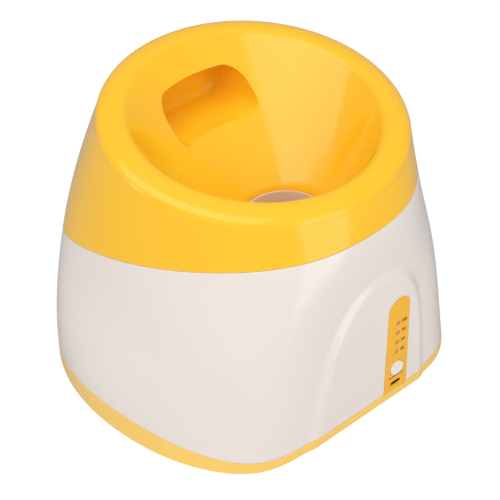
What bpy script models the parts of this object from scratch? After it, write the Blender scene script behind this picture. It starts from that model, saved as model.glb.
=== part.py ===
"""Automatic dog ball launcher, modelled in metres with +Z up.

The origin lies on the ground under the middle of the launcher. The launch mouth faces -Y and the
rear face with the control panel faces +Y. A ball dropped in the funnel waits on the feed wheel,
falls into the chute, rolls down to the two tyred flywheels and leaves through the mouth.
"""

import math

import bmesh
import bpy
import numpy as np
from mathutils import Matrix, Vector

# Clearance between neighbouring pieces
GAP = 0.0003

# Body skin: a round, tapering wall whose rear is cut flat
BODY_HEIGHT = 0.2003
RIM_SLOPE = -0.094
BASE_RADIUS = 0.1435
RIM_RADIUS = 0.1071
REAR_REACH = 0.1195
REAR_LEAN_SHARE = 0.111
REAR_RECOVER_SHARE = 0.110
REAR_CORNER_SHARPNESS = 20.0
SPREAD_SHARES = (1.0, 0.923, 0.679, 0.404, 0.0)
SHIFT_SHARES = (0.0, 0.002, -0.028, -0.031, -0.010)
OVAL_SHARES = (-0.032, -0.017, 0.008, 0.025, 0.0)
EGG_SHARES = (0.026, 0.043, 0.024, 0.014, 0.0)
SQUARE_SHARES = (-0.025, -0.008, -0.019, 0.001, 0.0)

# Raised arch on the rear face, whose plateau is a plane
ARCH_AXIS = -0.0144
ARCH_HALF_WIDTH = 0.0680
ARCH_FAR_HALF_WIDTH = 0.0520
ARCH_TOP = 0.1290
ARCH_REACH = 0.1198
ARCH_LEAN_SHARE = 0.035
ARCH_SHOULDER = 0.0085
ARCH_NARROWING_SHARE = 0.40
ARCH_FAR_NARROWING_SHARE = 0.15
ARCH_SQUARENESS_SHARE = 5.0
ARCH_ROUNDNESS_SHARE = 0.45

# Seam between cap and shell
SEAM_HEIGHT = 0.1418
SEAM_SLOPE = 0.334
SEAM_BOW_PER_SPAN_SHARE = -0.1228
SEAM_LEVEL_START = 0.0850
SEAM_LEVEL_PER_SPAN_SHARE = 0.48
SEAM_TONGUE = 0.0040
TONGUE_ROOT = 0.0040
SEAM_TONGUE_BACK = 0.0050
SHELL_ROW_SHARES = (0.0, 0.18, 0.36, 0.5, 0.6, 0.68, 0.74, 0.8, 0.9, 1.0)
SHELL_INNER_ROWS = 4

# Seam between shell and base, which rises in a wave at each side
GROUND_CLEARANCE = 0.0010
BASE_SEAM_REAR = 0.0088
BASE_SEAM_FRONT = 0.0117
BASE_SEAM_WAVE = 0.0120
BASE_SEAM_WAVE_POWER = 6
BASE_TONGUE = 0.0040

# Walls
SHELL_WALL = 0.0026
CAP_WALL = 0.0026
TRAY_FLOOR = 0.0028
TONGUE_WALL = 0.0020

# Rim and funnel
LIP_RADIUS = 0.0883
LIP_OFFSET = -0.0008
RIM_CROWN = 0.0085
LIP_ROUNDING = 0.0080
THROAT_RADIUS = 0.0335
THROAT_OFFSET = 0.0334
THROAT_HEIGHT = 0.1350
THROAT_COLLAR = 0.0060

# Hand pocket in the front wall of the funnel
POCKET_AXIS = 0.0009
POCKET_HALF_WIDTH = 0.0368
POCKET_FLOOR_SHARE = 0.5666
POCKET_TOP_SHARE = 0.9954
POCKET_BACK = 0.0895
POCKET_MOUTH = 0.0180
POCKET_FLOOR_DROP = 0.0075
POCKET_CORNER = 0.0115
POCKET_WALL = 0.0022
POCKET_SINK = 0.0012
POCKET_BEND = 0.0400
POCKET_BACK_ROUNDING = 0.0050

# Launch line: barrel, mouth and the chute that feeds it
BALL_RADIUS = 0.0250
LAUNCH_ANGLE = math.radians(10.0)
MOUTH_HEIGHT = 0.0530
MOUTH_PROUD = 0.0003
BARREL_BORE = 0.0270
BARREL_WALL = 0.0020
BARREL_SETBACK = 0.0998
CHUTE_WALL = 0.0022
CHUTE_LIP_DROP = 0.0014
ELBOW_HEIGHT = 0.0500
ELBOW_BEND = 0.0360
ELBOW_ROWS = 5
MOUTH_FLANGE_RADIUS = 0.0345
MOUTH_FLANGE_DEPTH = 0.0035
MOUTH_LIP = 0.0020
MOUTH_EDGE = 0.0010
MOUTH_SLEEVE_WALL = 0.0018
MOUTH_SLEEVE_LENGTH = 0.0120

# Flywheels
WHEEL_SETBACK = 0.0550
TYRE_RADIUS = 0.0310
TYRE_SQUEEZE = 0.0020
TYRE_WIDTH = 0.0200
TYRE_THICKNESS = 0.0050
TYRE_CROWN = 0.0012
HUB_BORE_WALL = 0.0030
HUB_WEB = 0.0024
HUB_HOLE_RADIUS = 0.0042
HUB_HOLES = 6
RIM_WALL = 0.0020
MOTOR_RADIUS = 0.0170
MOTOR_LENGTH = 0.0440
MOTOR_BOSS_RADIUS = 0.0050
MOTOR_BOSS_HEIGHT = 0.0020
SHAFT_RADIUS = 0.0015
SHAFT_BORE_DEPTH = 0.0120

# Motor deck
DECK_THICKNESS = 0.0024
DECK_RISE = 0.0145
DECK_HALF_WIDTH = 0.0765
DECK_HALF_DEPTH = 0.0392
DECK_SIDE_DEPTH = 0.0160
DECK_FRONT_WIDTH = 0.0450
DECK_ARC_STEPS = 12
DECK_POST_ACROSS = 0.0345
DECK_POST_ALONG = 0.0345
DECK_SOCKET_WALL = 0.0018
DECK_SOCKET_HEIGHT = 0.0070
POST_RADIUS = 0.0042

# Feed wheel and its drive
FEED_BACK = 0.0770
FEED_HEIGHT = 0.0900
FEED_ARM_LENGTH = 0.0300
FEED_ARM_THICKNESS = 0.0060
FEED_HALF_WIDTH = 0.0180
FEED_TIP_THICKNESS = 0.0044
FEED_HUB_RADIUS = 0.0080
FEED_ARMS = 3
FEED_SHAFT_RADIUS = 0.0025
FEED_SLOT_MARGIN = 0.0025
FRAME_PLATE = 0.0022
FRAME_LEFT = 0.0240
FRAME_RIGHT = 0.0310
FRAME_HALF_DEPTH = 0.0120
FRAME_SHAFT_MARGIN = 0.0090
FRAME_FOOT = 0.0024
SHAFT_COLLAR = 0.0010
GEAR_MODULE = 0.00135
GEAR_TEETH = 24
PINION_TEETH = 10
GEAR_WIDTH = 0.0050
GEAR_PLACE = 0.0222
GEAR_TOOTH_SHARE = 0.42
GEAR_TIP_SHARE = 0.85
GEAR_ROOT_SHARE = 1.20
PRESSURE_ANGLE = math.radians(20.0)
PINION_SHAFT_RADIUS = 0.0010
FEED_MOTOR_RADIUS = 0.0105
FEED_MOTOR_LENGTH = 0.0260

# Control panel, in the frame of the rear face
PANEL_AXIS = -0.0324
PANEL_HALF_WIDTH = 0.0112
PANEL_TOP_HALF_WIDTH = 0.0100
PANEL_TOP = 0.0985
PANEL_THICKNESS = 0.0026
PANEL_PROUD = 0.0004
LENS_RADIUS = 0.0016
LENS_PROUD = 0.0003
LENS_FLANGE = 0.0008
LENS_FLANGE_DEPTH = 0.0008
LENS_TOP_HEIGHT = 0.0750
LENS_PITCH = 0.0093
LENSES = 4
LENS_OFFSET = -0.0006
BUTTON_HEIGHT = 0.0310
BUTTON_RADIUS = 0.0060
BUTTON_PROUD = 0.0014
BUTTON_TRAVEL = 0.0010
BUTTON_FLANGE = 0.0009
BUTTON_FLANGE_DEPTH = 0.0008
BUTTON_STEM_RADIUS = 0.0016
USB_HEIGHT = 0.0160
USB_HALF_WIDTH = 0.0046
USB_HALF_HEIGHT = 0.0015
USB_WALL = 0.0004
USB_RECESS = 0.0006
BOARD_SPACE = 0.0052
BOARD_THICKNESS = 0.0014
BOARD_HALF_WIDTH = 0.0095
BOARD_TOP = 0.0830
BOARD_BOTTOM = 0.0110
BOARD_POST_RADIUS = 0.0016
BOARD_POST_HIGH = 0.0805
BOARD_POST_LOW = 0.0406
SWITCH_HALF_SIZE = 0.0030
SWITCH_HEIGHT = 0.0015
SWITCH_PLUNGER = 0.0006
USB_DEPTH = 0.0048
USB_TONGUE = 0.0006

# Electrics on the tray
MAIN_BOARD_PLACE_SHARE = 0.592
MAIN_BOARD_Y = 0.0220
MAIN_BOARD_HALF_WIDTH = 0.0200
MAIN_BOARD_HALF_DEPTH = 0.0280
MAIN_BOARD_LIFT = 0.0060
MAIN_BOARD_CORNER = 0.0030
MAIN_BOARD_POST = 0.0024
MAIN_BOARD_POST_INSET = 0.0040
CHIP_HALF_WIDTH = 0.0060
CHIP_HEIGHT = 0.0022
CAPACITOR_RADIUS = 0.0040
CAPACITOR_HEIGHT = 0.0110
PACK_PLACE_SHARE = -0.600
PACK_Y = 0.0200
CELL_RADIUS = 0.0092
CELL_LENGTH = 0.0650
CELLS = 2
STRAP_WIDTH = 0.0120
STRAP_THICKNESS = 0.0020
STRAP_FOOT = 0.0080

# Feet and screws
FOOT_RADIUS = 0.0080
FOOT_HEIGHT = 0.0019
FOOT_CROWN = 0.0006
FOOT_PLACES_SHARES = ((0.62, 0.48), (-0.62, 0.48), (0.62, -0.58), (-0.62, -0.58))
SHELL_BOSS_RADIUS = 0.0045
SHELL_BOSS_HEIGHT = 0.0260
SHELL_BOSS_INSET = 0.0120
SHELL_BOSS_BEARINGS = (62.0, 118.0, 242.0, 298.0)
SCREW_RADIUS = 0.0015
SCREW_LENGTH = 0.0110
SCREW_HEAD_RADIUS = 0.0030
SCREW_HEAD_HEIGHT = 0.0013
SCREW_SLOT_WIDTH = 0.0008
SCREW_SLOT_DEPTH = 0.0006
CAP_BOSS_RADIUS = 0.0042
CAP_BOSS_HEIGHT = 0.0180
CAP_BOSS_INSET = 0.0125
CAP_BOSS_BEARINGS = (40.0, 90.0, 270.0, 320.0)
LUG_THICKNESS = 0.0030
LUG_DROP = 0.0090
RIB_THICKNESS = 0.0018
RIB_ROWS = 2
SADDLE_THICKNESS = 0.0030
SADDLE_HALF_WIDTH = 0.0180
SADDLE_REAR_SETBACK = 0.0750
SADDLE_FRONT_SETBACK = 0.0250
CRADLE_PLACE = 0.0200

# Facets
REAR_ARC = 51.0
REAR_COLUMNS = 26
REAR_CROWDING_SHARE = 0.45
CAP_ROWS = 4
CAP_INNER_ROWS = 1
RIM_STEPS = 4
LIP_STEPS = 3
FUNNEL_ROWS = 1
ROUND_COLUMNS = 22
TUBE_STEPS = 24
WHEEL_STEPS = 18
SMALL_STEPS = 10
SCREW_STEPS = 6
LENS_STEPS = 8
OVERRUN = 0.0050
MERGE = 0.000002
ARCH_STEPS = 24
SOLVER_ROUNDS = 6
PLAN_STEP = math.radians(1.5)
REAR_FACING_SHARE = 0.05

FINISHES = {
    "yellow_gloss": ((1.0, 0.565, 0.030), 0.22, 0.0),
    "white_gloss": ((0.81, 0.75, 0.70), 0.25, 0.0),
    "panel_yellow": ((0.90, 0.49, 0.028), 0.35, 0.0),
    "pale_inner": ((0.72, 0.66, 0.60), 0.35, 0.0),
    "clear_lens": ((0.85, 0.75, 0.55), 0.15, 0.0),
    "black_plastic": ((0.02, 0.02, 0.02), 0.45, 0.0),
    "grey_plastic": ((0.16, 0.17, 0.18), 0.45, 0.0),
    "rubber": ((0.03, 0.03, 0.03), 0.75, 0.0),
    "zinc_steel": ((0.60, 0.60, 0.61), 0.35, 1.0),
    "motor_can": ((0.45, 0.46, 0.48), 0.30, 1.0),
    "white_nylon": ((0.78, 0.77, 0.73), 0.40, 0.0),
    "board_green": ((0.02, 0.16, 0.07), 0.40, 0.0),
    "cell_wrap": ((0.03, 0.10, 0.30), 0.35, 0.0),
}


def clear_scene():
    """Remove every object of the open scene."""
    for item in list(bpy.data.objects):
        bpy.data.objects.remove(item, do_unlink=True)


def finish_material(finish):
    """Principled material of the named finish, made once."""
    material = bpy.data.materials.get(finish)
    if material is None:
        colour, roughness, metallic = FINISHES[finish]
        material = bpy.data.materials.new(finish)
        material.use_nodes = True
        shader = material.node_tree.nodes["Principled BSDF"]
        shader.inputs["Base Color"].default_value = (*colour, 1.0)
        shader.inputs["Roughness"].default_value = roughness
        shader.inputs["Metallic"].default_value = metallic
        material.diffuse_color = (*colour, 1.0)
    return material


def mesh_from(bm, name):
    """Closed mesh of a bmesh with its faces pointing out."""
    bmesh.ops.remove_doubles(bm, verts=bm.verts, dist=MERGE)
    bmesh.ops.recalc_face_normals(bm, faces=bm.faces)
    mesh = bpy.data.meshes.new(name)
    bm.to_mesh(mesh)
    bm.free()
    return mesh


def add_piece(name, bm, finish, matrix=None):
    """Named object of one piece with its finish, placed by a rigid matrix."""
    mesh = bm if isinstance(bm, bpy.types.Mesh) else mesh_from(bm, name)
    piece = bpy.data.objects.new(name, mesh)
    bpy.context.scene.collection.objects.link(piece)
    if matrix is not None:
        piece.matrix_world = matrix
    if not mesh.materials:
        mesh.materials.append(finish_material(finish))
    return piece


def smooth(piece, angle=math.radians(32.0)):
    """Smooth shading with sharp edges kept."""
    piece.data.shade_smooth()
    piece.data.set_sharp_from_angle(angle=angle)


def apply_tool(piece, bm, operation, matrix=None):
    """Cut or join a tool solid, given in world space or by its own matrix."""
    tool = bpy.data.objects.new("tool", mesh_from(bm, "tool"))
    bpy.context.scene.collection.objects.link(tool)
    if matrix is not None:
        tool.matrix_world = matrix
    modifier = piece.modifiers.new("tool", "BOOLEAN")
    modifier.operation = operation
    modifier.solver = "EXACT"
    modifier.object = tool
    depsgraph = bpy.context.evaluated_depsgraph_get()
    result = bpy.data.meshes.new_from_object(piece.evaluated_get(depsgraph))
    piece.modifiers.clear()
    old = piece.data
    piece.data = result
    bpy.data.meshes.remove(old)
    bpy.data.objects.remove(tool, do_unlink=True)
    tidy = bmesh.new()
    tidy.from_mesh(result)
    bmesh.ops.dissolve_degenerate(tidy, edges=tidy.edges, dist=MERGE)
    tidy.to_mesh(result)
    tidy.free()


def cut(piece, bm, matrix=None):
    """Take a tool solid away from a piece."""
    apply_tool(piece, bm, "DIFFERENCE", matrix)


def join(piece, bm, matrix=None):
    """Fuse a tool solid to a piece."""
    apply_tool(piece, bm, "UNION", matrix)


def merged(*parts):
    """One bmesh holding several separate closed solids."""
    whole = bmesh.new()
    for part in parts:
        held = bpy.data.meshes.new("held")
        part.to_mesh(held)
        part.free()
        whole.from_mesh(held)
        bpy.data.meshes.remove(held)
    return whole


def moved(bm, matrix):
    """The same bmesh under a rigid matrix."""
    bmesh.ops.transform(bm, matrix=matrix, verts=bm.verts)
    return bm


def ring_solid(loops):
    """Closed ring through equal closed profiles, one after another."""
    bm = bmesh.new()
    rings = [[bm.verts.new(point) for point in loop] for loop in loops]
    for column, ring in enumerate(rings):
        following = rings[(column + 1) % len(rings)]
        for row in range(len(ring)):
            above = (row + 1) % len(ring)
            bm.faces.new((ring[row], following[row], following[above], ring[above]))
    bmesh.ops.recalc_face_normals(bm, faces=bm.faces)
    return bm


def stack_solid(outlines):
    """Solid through equal closed outlines, with flat ends."""
    bm = bmesh.new()
    rows = [[bm.verts.new(point) for point in outline] for outline in outlines]
    for lower, upper in zip(rows, rows[1:]):
        for start in range(len(lower)):
            end = (start + 1) % len(lower)
            bm.faces.new((lower[start], lower[end], upper[end], upper[start]))
    bm.faces.new(rows[0][::-1])
    bm.faces.new(rows[-1])
    bmesh.ops.recalc_face_normals(bm, faces=bm.faces)
    return bm


def turned(profile, steps=TUBE_STEPS):
    """Solid of revolution about Z; a profile off the axis is closed on itself."""
    on_axis = profile[0][0] == 0 and profile[-1][0] == 0
    bm = bmesh.new()
    rings = []
    for radius, height in profile:
        if radius == 0:
            rings.append([bm.verts.new((0, 0, height))])
            continue
        turns = [2 * math.pi * step / steps for step in range(steps)]
        places = [(radius * math.cos(turn), radius * math.sin(turn), height) for turn in turns]
        rings.append([bm.verts.new(place) for place in places])
    pairs = list(zip(rings, rings[1:]))
    if not on_axis:
        pairs.append((rings[-1], rings[0]))
    for lower, upper in pairs:
        for step in range(steps):
            after = (step + 1) % steps
            corners = [lower[step % len(lower)], lower[after % len(lower)]]
            corners += [upper[after % len(upper)], upper[step % len(upper)]]
            kept = list(dict.fromkeys(corners))
            bm.faces.new(kept)
    bmesh.ops.recalc_face_normals(bm, faces=bm.faces)
    return bm


def rod(radius, low, high, steps=SMALL_STEPS):
    """Cylinder about Z between two heights."""
    return turned([(0, low), (radius, low), (radius, high), (0, high)], steps)


def pipe(bore, radius, low, high, steps=TUBE_STEPS):
    """Tube about Z between two heights."""
    return turned([(bore, low), (radius, low), (radius, high), (bore, high)], steps)


def prism(outline, low, high):
    """Flat outline raised along Z."""
    return stack_solid([[(x, y, low) for x, y in outline], [(x, y, high) for x, y in outline]])


def block(low, high):
    """Box between two opposite corners."""
    outline = [(low[0], low[1]), (high[0], low[1]), (high[0], high[1]), (low[0], high[1])]
    return prism(outline, low[2], high[2])


def rounded_rectangle(half_width, half_depth, corner, steps=4):
    """Outline of a rectangle with round corners, about its centre."""
    outline = []
    for quarter, (side, end) in enumerate(((1, 1), (-1, 1), (-1, -1), (1, -1))):
        for step in range(steps + 1):
            turn = math.pi / 2 * (quarter + step / steps)
            x = side * (half_width - corner) + corner * math.cos(turn)
            y = end * (half_depth - corner) + corner * math.sin(turn)
            outline.append((x, y))
    return outline


def frame(origin, across, along, out):
    """Rigid matrix with the given origin and axes."""
    matrix = Matrix((across, along, out)).transposed().to_4x4()
    matrix.translation = origin
    return matrix


def natural_curve(values):
    """Natural cubic through values at even shares from 0 to 1."""
    count = len(values)
    step = 1.0 / (count - 1)
    system = np.eye(count)
    target = np.zeros(count)
    for row in range(1, count - 1):
        system[row, row - 1:row + 2] = (1.0, 4.0, 1.0)
        target[row] = 6.0 * (values[row - 1] - 2.0 * values[row] + values[row + 1]) / step ** 2
    bends = np.linalg.solve(system, target)

    def value(share):
        cell = max(0, min(int(share / step), count - 2))
        after = share / step - cell
        before = 1.0 - after
        straight = before * values[cell] + after * values[cell + 1]
        bent = (before ** 3 - before) * bends[cell] + (after ** 3 - after) * bends[cell + 1]
        return straight + bent * step ** 2 / 6.0

    return value


SPREAD = natural_curve(SPREAD_SHARES)
SHIFT = natural_curve(SHIFT_SHARES)
OVAL = natural_curve(OVAL_SHARES)
EGG = natural_curve(EGG_SHARES)
SQUARE = natural_curve(SQUARE_SHARES)


def arch_half_width(height, side):
    """Width of the rear arch from its axis to one side at a height."""
    share = max(0.0, min(height / ARCH_TOP, 1.0))
    foot = ARCH_HALF_WIDTH if side > 0 else ARCH_FAR_HALF_WIDTH
    narrowing = ARCH_NARROWING_SHARE if side > 0 else ARCH_FAR_NARROWING_SHARE
    return foot * (1.0 - narrowing * share) * (1.0 - share ** ARCH_SQUARENESS_SHARE) ** ARCH_ROUNDNESS_SHARE


def arch_outline(side):
    """One side of the arch outline, from below the ground to its top."""
    points = [(arch_half_width(0, side), -ARCH_TOP)]
    for step in range(ARCH_STEPS + 1):
        height = ARCH_TOP * math.sin(math.pi / 2 * step / ARCH_STEPS)
        points.append((arch_half_width(height, side), height))
    return np.array(points)


ARCH_OUTLINES = {side: arch_outline(side) for side in (1, -1)}


def arch_share(x, height):
    """0 outside the arch, 1 on its plateau, smooth across the shoulder."""
    side = 1 if x > ARCH_AXIS else -1
    offset = abs(x - ARCH_AXIS)
    if height >= ARCH_TOP or offset >= arch_half_width(height, side):
        return 0.0
    start = ARCH_OUTLINES[side][:-1]
    run = ARCH_OUTLINES[side][1:] - start
    reach = np.array((offset, height)) - start
    along = np.clip((reach * run).sum(1) / (run ** 2).sum(1), 0.0, 1.0)
    distance = np.sqrt(((reach - along[:, None] * run) ** 2).sum(1)).min()
    share = min(distance / ARCH_SHOULDER, 1.0)
    return share * share * (3.0 - 2.0 * share)


def arch_reach(height):
    """Where the plane of the arch lies along Y at a height."""
    return ARCH_REACH - ARCH_LEAN_SHARE * height


def skin_outline(angle, share):
    """Plan position of the round skin with its flat rear."""
    radius = RIM_RADIUS + (BASE_RADIUS - RIM_RADIUS) * SPREAD(share)
    waves = OVAL(share) * math.cos(2 * angle) + EGG(share) * math.cos(3 * angle)
    radius += BASE_RADIUS * (waves + SQUARE(share) * math.cos(4 * angle))
    shift = BASE_RADIUS * SHIFT(share)
    facing = math.cos(angle)
    if facing > REAR_FACING_SHARE:
        lean = REAR_LEAN_SHARE - REAR_RECOVER_SHARE * share
        flat = (REAR_REACH - BODY_HEIGHT * share * lean - shift) / facing
        sharpness = REAR_CORNER_SHARPNESS
        radius *= (1.0 + (radius / flat) ** sharpness) ** (-1.0 / sharpness)
    return radius * math.sin(angle), shift + radius * math.cos(angle)


def skin(angle, share):
    """Point of the outer skin; the angle runs from +Y towards +X."""
    x, y = skin_outline(angle, share)
    z = share * (BODY_HEIGHT + RIM_SLOPE * y)
    if math.cos(angle) > REAR_FACING_SHARE:
        y += arch_share(x, z) * (arch_reach(z) - y)
    return Vector((x, y, z))


def share_at(angle, height):
    """Share of the way up the skin at a height."""
    share = height / BODY_HEIGHT
    for _ in range(SOLVER_ROUNDS):
        y = skin_outline(angle, share)[1]
        share = height / (BODY_HEIGHT + RIM_SLOPE * y)
    return share


def skin_inset(angle, share, inset):
    """Point of the skin moved in by an inset, level with where it was."""
    point = skin(angle, share)
    ahead = skin(angle + PLAN_STEP, share)
    behind = skin(angle - PLAN_STEP, share)
    inward = Vector((ahead.y - behind.y, behind.x - ahead.x, 0)).normalized()
    return point + inset * inward


def wall(angle, height, inset=0.0):
    """Point of the skin at a height, moved in by an inset."""
    return skin_inset(angle, share_at(angle, height), inset)


def column_angles():
    """Bearings of the mesh columns, closer together on the rear."""
    arc = math.radians(REAR_ARC)
    evenly = [2.0 * step / REAR_COLUMNS - 1.0 for step in range(REAR_COLUMNS)]
    turn = 2.0 * math.pi
    rear = [arc * (share + REAR_CROWDING_SHARE * math.sin(turn * share) / turn) for share in evenly]
    rest = 2.0 * math.pi - 2.0 * arc
    return rear + [arc + rest * step / ROUND_COLUMNS for step in range(ROUND_COLUMNS)]


def seam_height(angle):
    """Height of the seam between cap and shell, which levels off towards the front."""
    height = SEAM_HEIGHT
    for _ in range(SOLVER_ROUNDS):
        y = wall(angle, height).y
        ahead = max(0.0, -y - SEAM_LEVEL_START)
        bend = SEAM_BOW_PER_SPAN_SHARE * y * y + SEAM_LEVEL_PER_SPAN_SHARE * ahead * ahead
        height = SEAM_HEIGHT + SEAM_SLOPE * y + bend / BASE_RADIUS
    return height


def base_seam_height(angle):
    """Height of the seam between shell and base."""
    turn = (1.0 - math.cos(angle)) / 2.0
    wave = abs(math.sin(angle)) ** BASE_SEAM_WAVE_POWER
    return BASE_SEAM_REAR + (BASE_SEAM_FRONT - BASE_SEAM_REAR) * turn + BASE_SEAM_WAVE * wave


ANGLES = column_angles()
SEAM = [seam_height(angle) for angle in ANGLES]
BASE_SEAM = [base_seam_height(angle) for angle in ANGLES]


SIDE = Vector((1, 0, 0))
REAR = Vector((0, 1, 0))
TOP = Vector((0, 0, 1))
LAUNCH = Vector((0, -math.cos(LAUNCH_ANGLE), math.sin(LAUNCH_ANGLE)))
LIFT = Vector((0, math.sin(LAUNCH_ANGLE), math.cos(LAUNCH_ANGLE)))
MOUTH = Vector((0, wall(math.pi, MOUTH_HEIGHT).y - MOUTH_PROUD, MOUTH_HEIGHT))
PANEL_UP = Vector((0, -ARCH_LEAN_SHARE, 1)).normalized()
PANEL_OUT = Vector((0, 1, ARCH_LEAN_SHARE)).normalized()
FLOOR_TOP = GROUND_CLEARANCE + TRAY_FLOOR
BARREL_RADIUS = BARREL_BORE + BARREL_WALL
CHUTE_RADIUS = THROAT_RADIUS - GAP
WHEEL_ACROSS = TYRE_RADIUS + BALL_RADIUS - TYRE_SQUEEZE
DECK_TOP = DECK_RISE + DECK_THICKNESS
PINION_HEIGHT = FEED_HEIGHT - GEAR_MODULE * (GEAR_TEETH + PINION_TEETH) / 2
SCREW_RECESS = SCREW_HEAD_HEIGHT + 2 * GAP
SCREW_HOLE = SCREW_RADIUS + GAP
PANEL_BACK = PANEL_THICKNESS - PANEL_PROUD
BOARD_FRONT = PANEL_BACK + BOARD_SPACE
MAIN_BOARD_X = MAIN_BOARD_PLACE_SHARE * BASE_RADIUS
PACK_X = PACK_PLACE_SHARE * BASE_RADIUS
LENS_HEIGHTS = [LENS_TOP_HEIGHT - LENS_PITCH * step for step in range(LENSES)]
POCKET_FLOOR = THROAT_HEIGHT + (BODY_HEIGHT - THROAT_HEIGHT) * POCKET_FLOOR_SHARE
POCKET_TOP = THROAT_HEIGHT + (BODY_HEIGHT - THROAT_HEIGHT) * POCKET_TOP_SHARE


def line_point(setback):
    """Point of the launch line a distance behind the mouth, seen from above."""
    return MOUTH - LAUNCH * setback / math.cos(LAUNCH_ANGLE)


BARREL_FRAME = frame(line_point(WHEEL_SETBACK), SIDE, LIFT, LAUNCH)
MOUTH_FRAME = frame(MOUTH, SIDE, LIFT, LAUNCH)
DECK_FRAME = frame(line_point(WHEEL_SETBACK), SIDE, -LAUNCH, LIFT)
FEED_FRAME = frame(Vector((0, FEED_BACK, FEED_HEIGHT)), REAR, TOP, SIDE)
PINION_FRAME = frame(Vector((0, FEED_BACK, PINION_HEIGHT)), REAR, TOP, SIDE)


def wheel_frame(side):
    """Frame on the axis of one flywheel, Z along the axis."""
    return frame(line_point(WHEEL_SETBACK) + SIDE * side * WHEEL_ACROSS, SIDE, -LAUNCH, LIFT)


def panel_frame(height):
    """Frame on the plane of the arch at a height, Z out of the body."""
    origin = Vector((PANEL_AXIS, arch_reach(height), height))
    return frame(origin, -SIDE, PANEL_UP, PANEL_OUT)


def rim_plane(y):
    """Height of the tilted plane of the rim."""
    return BODY_HEIGHT + RIM_SLOPE * y


def cap_loop(angle, seam):
    """Closed profile of the cap at one bearing, from the seam round and back."""
    low = share_at(angle, seam + GAP / 2)
    rise = [low + (1.0 - low) * step / CAP_ROWS for step in range(CAP_ROWS + 1)]
    loop = [skin_inset(angle, share, 0) for share in rise]
    outer = loop[-1]
    lip = Vector((LIP_RADIUS * math.sin(angle), LIP_OFFSET + LIP_RADIUS * math.cos(angle), 0))
    span = Vector((lip.x - outer.x, lip.y - outer.y, 0))
    width = span.length
    inward = span / width

    def rim_point(reach, height):
        y = outer.y + inward.y * reach
        return Vector((outer.x + inward.x * reach, y, rim_plane(y) + height))

    radial = Vector((math.sin(angle), math.cos(angle), 0))
    throat = REAR * THROAT_OFFSET + radial * THROAT_RADIUS + TOP * THROAT_HEIGHT
    fall = rim_point(width, RIM_CROWN) - throat
    steepness = math.asin(fall.z / fall.length)
    crest = width - LIP_ROUNDING * math.tan(steepness / 2)
    for step in range(1, RIM_STEPS + 1):
        turn = math.pi / 2 * step / RIM_STEPS
        loop.append(rim_point(crest * (1.0 - math.cos(turn)), RIM_CROWN * math.sin(turn)))
    for step in range(1, LIP_STEPS + 1):
        turn = steepness * step / LIP_STEPS
        reach = crest + LIP_ROUNDING * math.sin(turn)
        loop.append(rim_point(reach, RIM_CROWN - LIP_ROUNDING * (1.0 - math.cos(turn))))
    top = loop[-1]
    loop += [top.lerp(throat, step / FUNNEL_ROWS) for step in range(1, FUNNEL_ROWS + 1)]
    loop.append(throat - TOP * THROAT_COLLAR)
    loop.append(throat - TOP * THROAT_COLLAR + radial * CAP_WALL)
    slope = top - throat
    out = Vector((slope.x, slope.y, 0))
    drop = CAP_WALL * out.length / slope.length
    offset = out.normalized() * CAP_WALL * slope.z / slope.length - TOP * drop
    loop.append(throat + radial * CAP_WALL - TOP * drop)
    loop += [throat.lerp(top, step / FUNNEL_ROWS) + offset for step in range(1, FUNNEL_ROWS + 1)]
    inner_width = crest - CAP_WALL - CAP_WALL / 2
    for step in range(RIM_STEPS, 0, -2):
        turn = math.pi / 2 * step / RIM_STEPS
        reach = CAP_WALL + inner_width * (1.0 - math.cos(turn))
        loop.append(rim_point(reach, (RIM_CROWN - CAP_WALL) * math.sin(turn)))
    tongue = share_at(angle, seam + SEAM_TONGUE)
    inside = [1.0 - (1.0 - tongue) * step / CAP_INNER_ROWS for step in range(CAP_INNER_ROWS + 1)]
    loop += [skin_inset(angle, share, CAP_WALL) for share in inside + [low]]
    return loop


def funnel_void(sink):
    """Solid that fills the funnel, lowered by a sink."""
    outlines = []
    throat = [(THROAT_RADIUS * math.sin(a), THROAT_OFFSET + THROAT_RADIUS * math.cos(a)) for a in ANGLES]
    lip = [(LIP_RADIUS * math.sin(a), LIP_OFFSET + LIP_RADIUS * math.cos(a)) for a in ANGLES]
    outlines.append([(x, y, THROAT_HEIGHT - sink) for x, y in throat])
    outlines.append([(x, y, rim_plane(y) + RIM_CROWN - sink) for x, y in lip])
    outlines.append([(x, y, rim_plane(y) + RIM_CROWN + OVERRUN) for x, y in lip])
    return stack_solid(outlines)


def pocket_solid(grow):
    """Hand pocket as a solid, grown on all sides; its floor drops to the back."""
    places = (
        (POCKET_MOUTH, 0, 0),
        (POCKET_BEND, 0, 0),
        (POCKET_BACK - POCKET_BACK_ROUNDING + grow, POCKET_FLOOR_DROP, 0),
        (POCKET_BACK + grow, POCKET_FLOOR_DROP, POCKET_BACK_ROUNDING / 2),
    )
    outlines = []
    for back, drop, shrink in places:
        margin = grow - shrink
        low = POCKET_FLOOR - drop - margin
        high = POCKET_TOP + margin
        corner = max(POCKET_CORNER + margin, POCKET_CORNER / 2)
        outline = rounded_rectangle(POCKET_HALF_WIDTH + margin, (high - low) / 2, corner)
        middle = (low + high) / 2
        outlines.append([(POCKET_AXIS + x, -back, middle + z) for x, z in outline])
    return stack_solid(outlines)


def boss_places(bearings, inset, heights):
    """Bearing, plan place and seam height of bosses inside the wall."""
    places = []
    for bearing in bearings:
        angle = math.radians(bearing)
        height = heights(angle)
        places.append((angle, wall(angle, height, inset), height))
    return places


def rib(angle, centre, low, high, skin_depth):
    """Thin rib from a boss to the middle of the wall."""
    outlines = []
    for step in range(RIB_ROWS + 1):
        height = low + (high - low) * step / RIB_ROWS
        foot = wall(angle, height, skin_depth)
        start = Vector((centre.x, centre.y, height))
        along = (foot - start).normalized()
        side = Vector((-along.y, along.x, 0)) * RIB_THICKNESS / 2
        outlines.append([start - side, foot - side, foot + side, start + side])
    return stack_solid(outlines)


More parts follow.
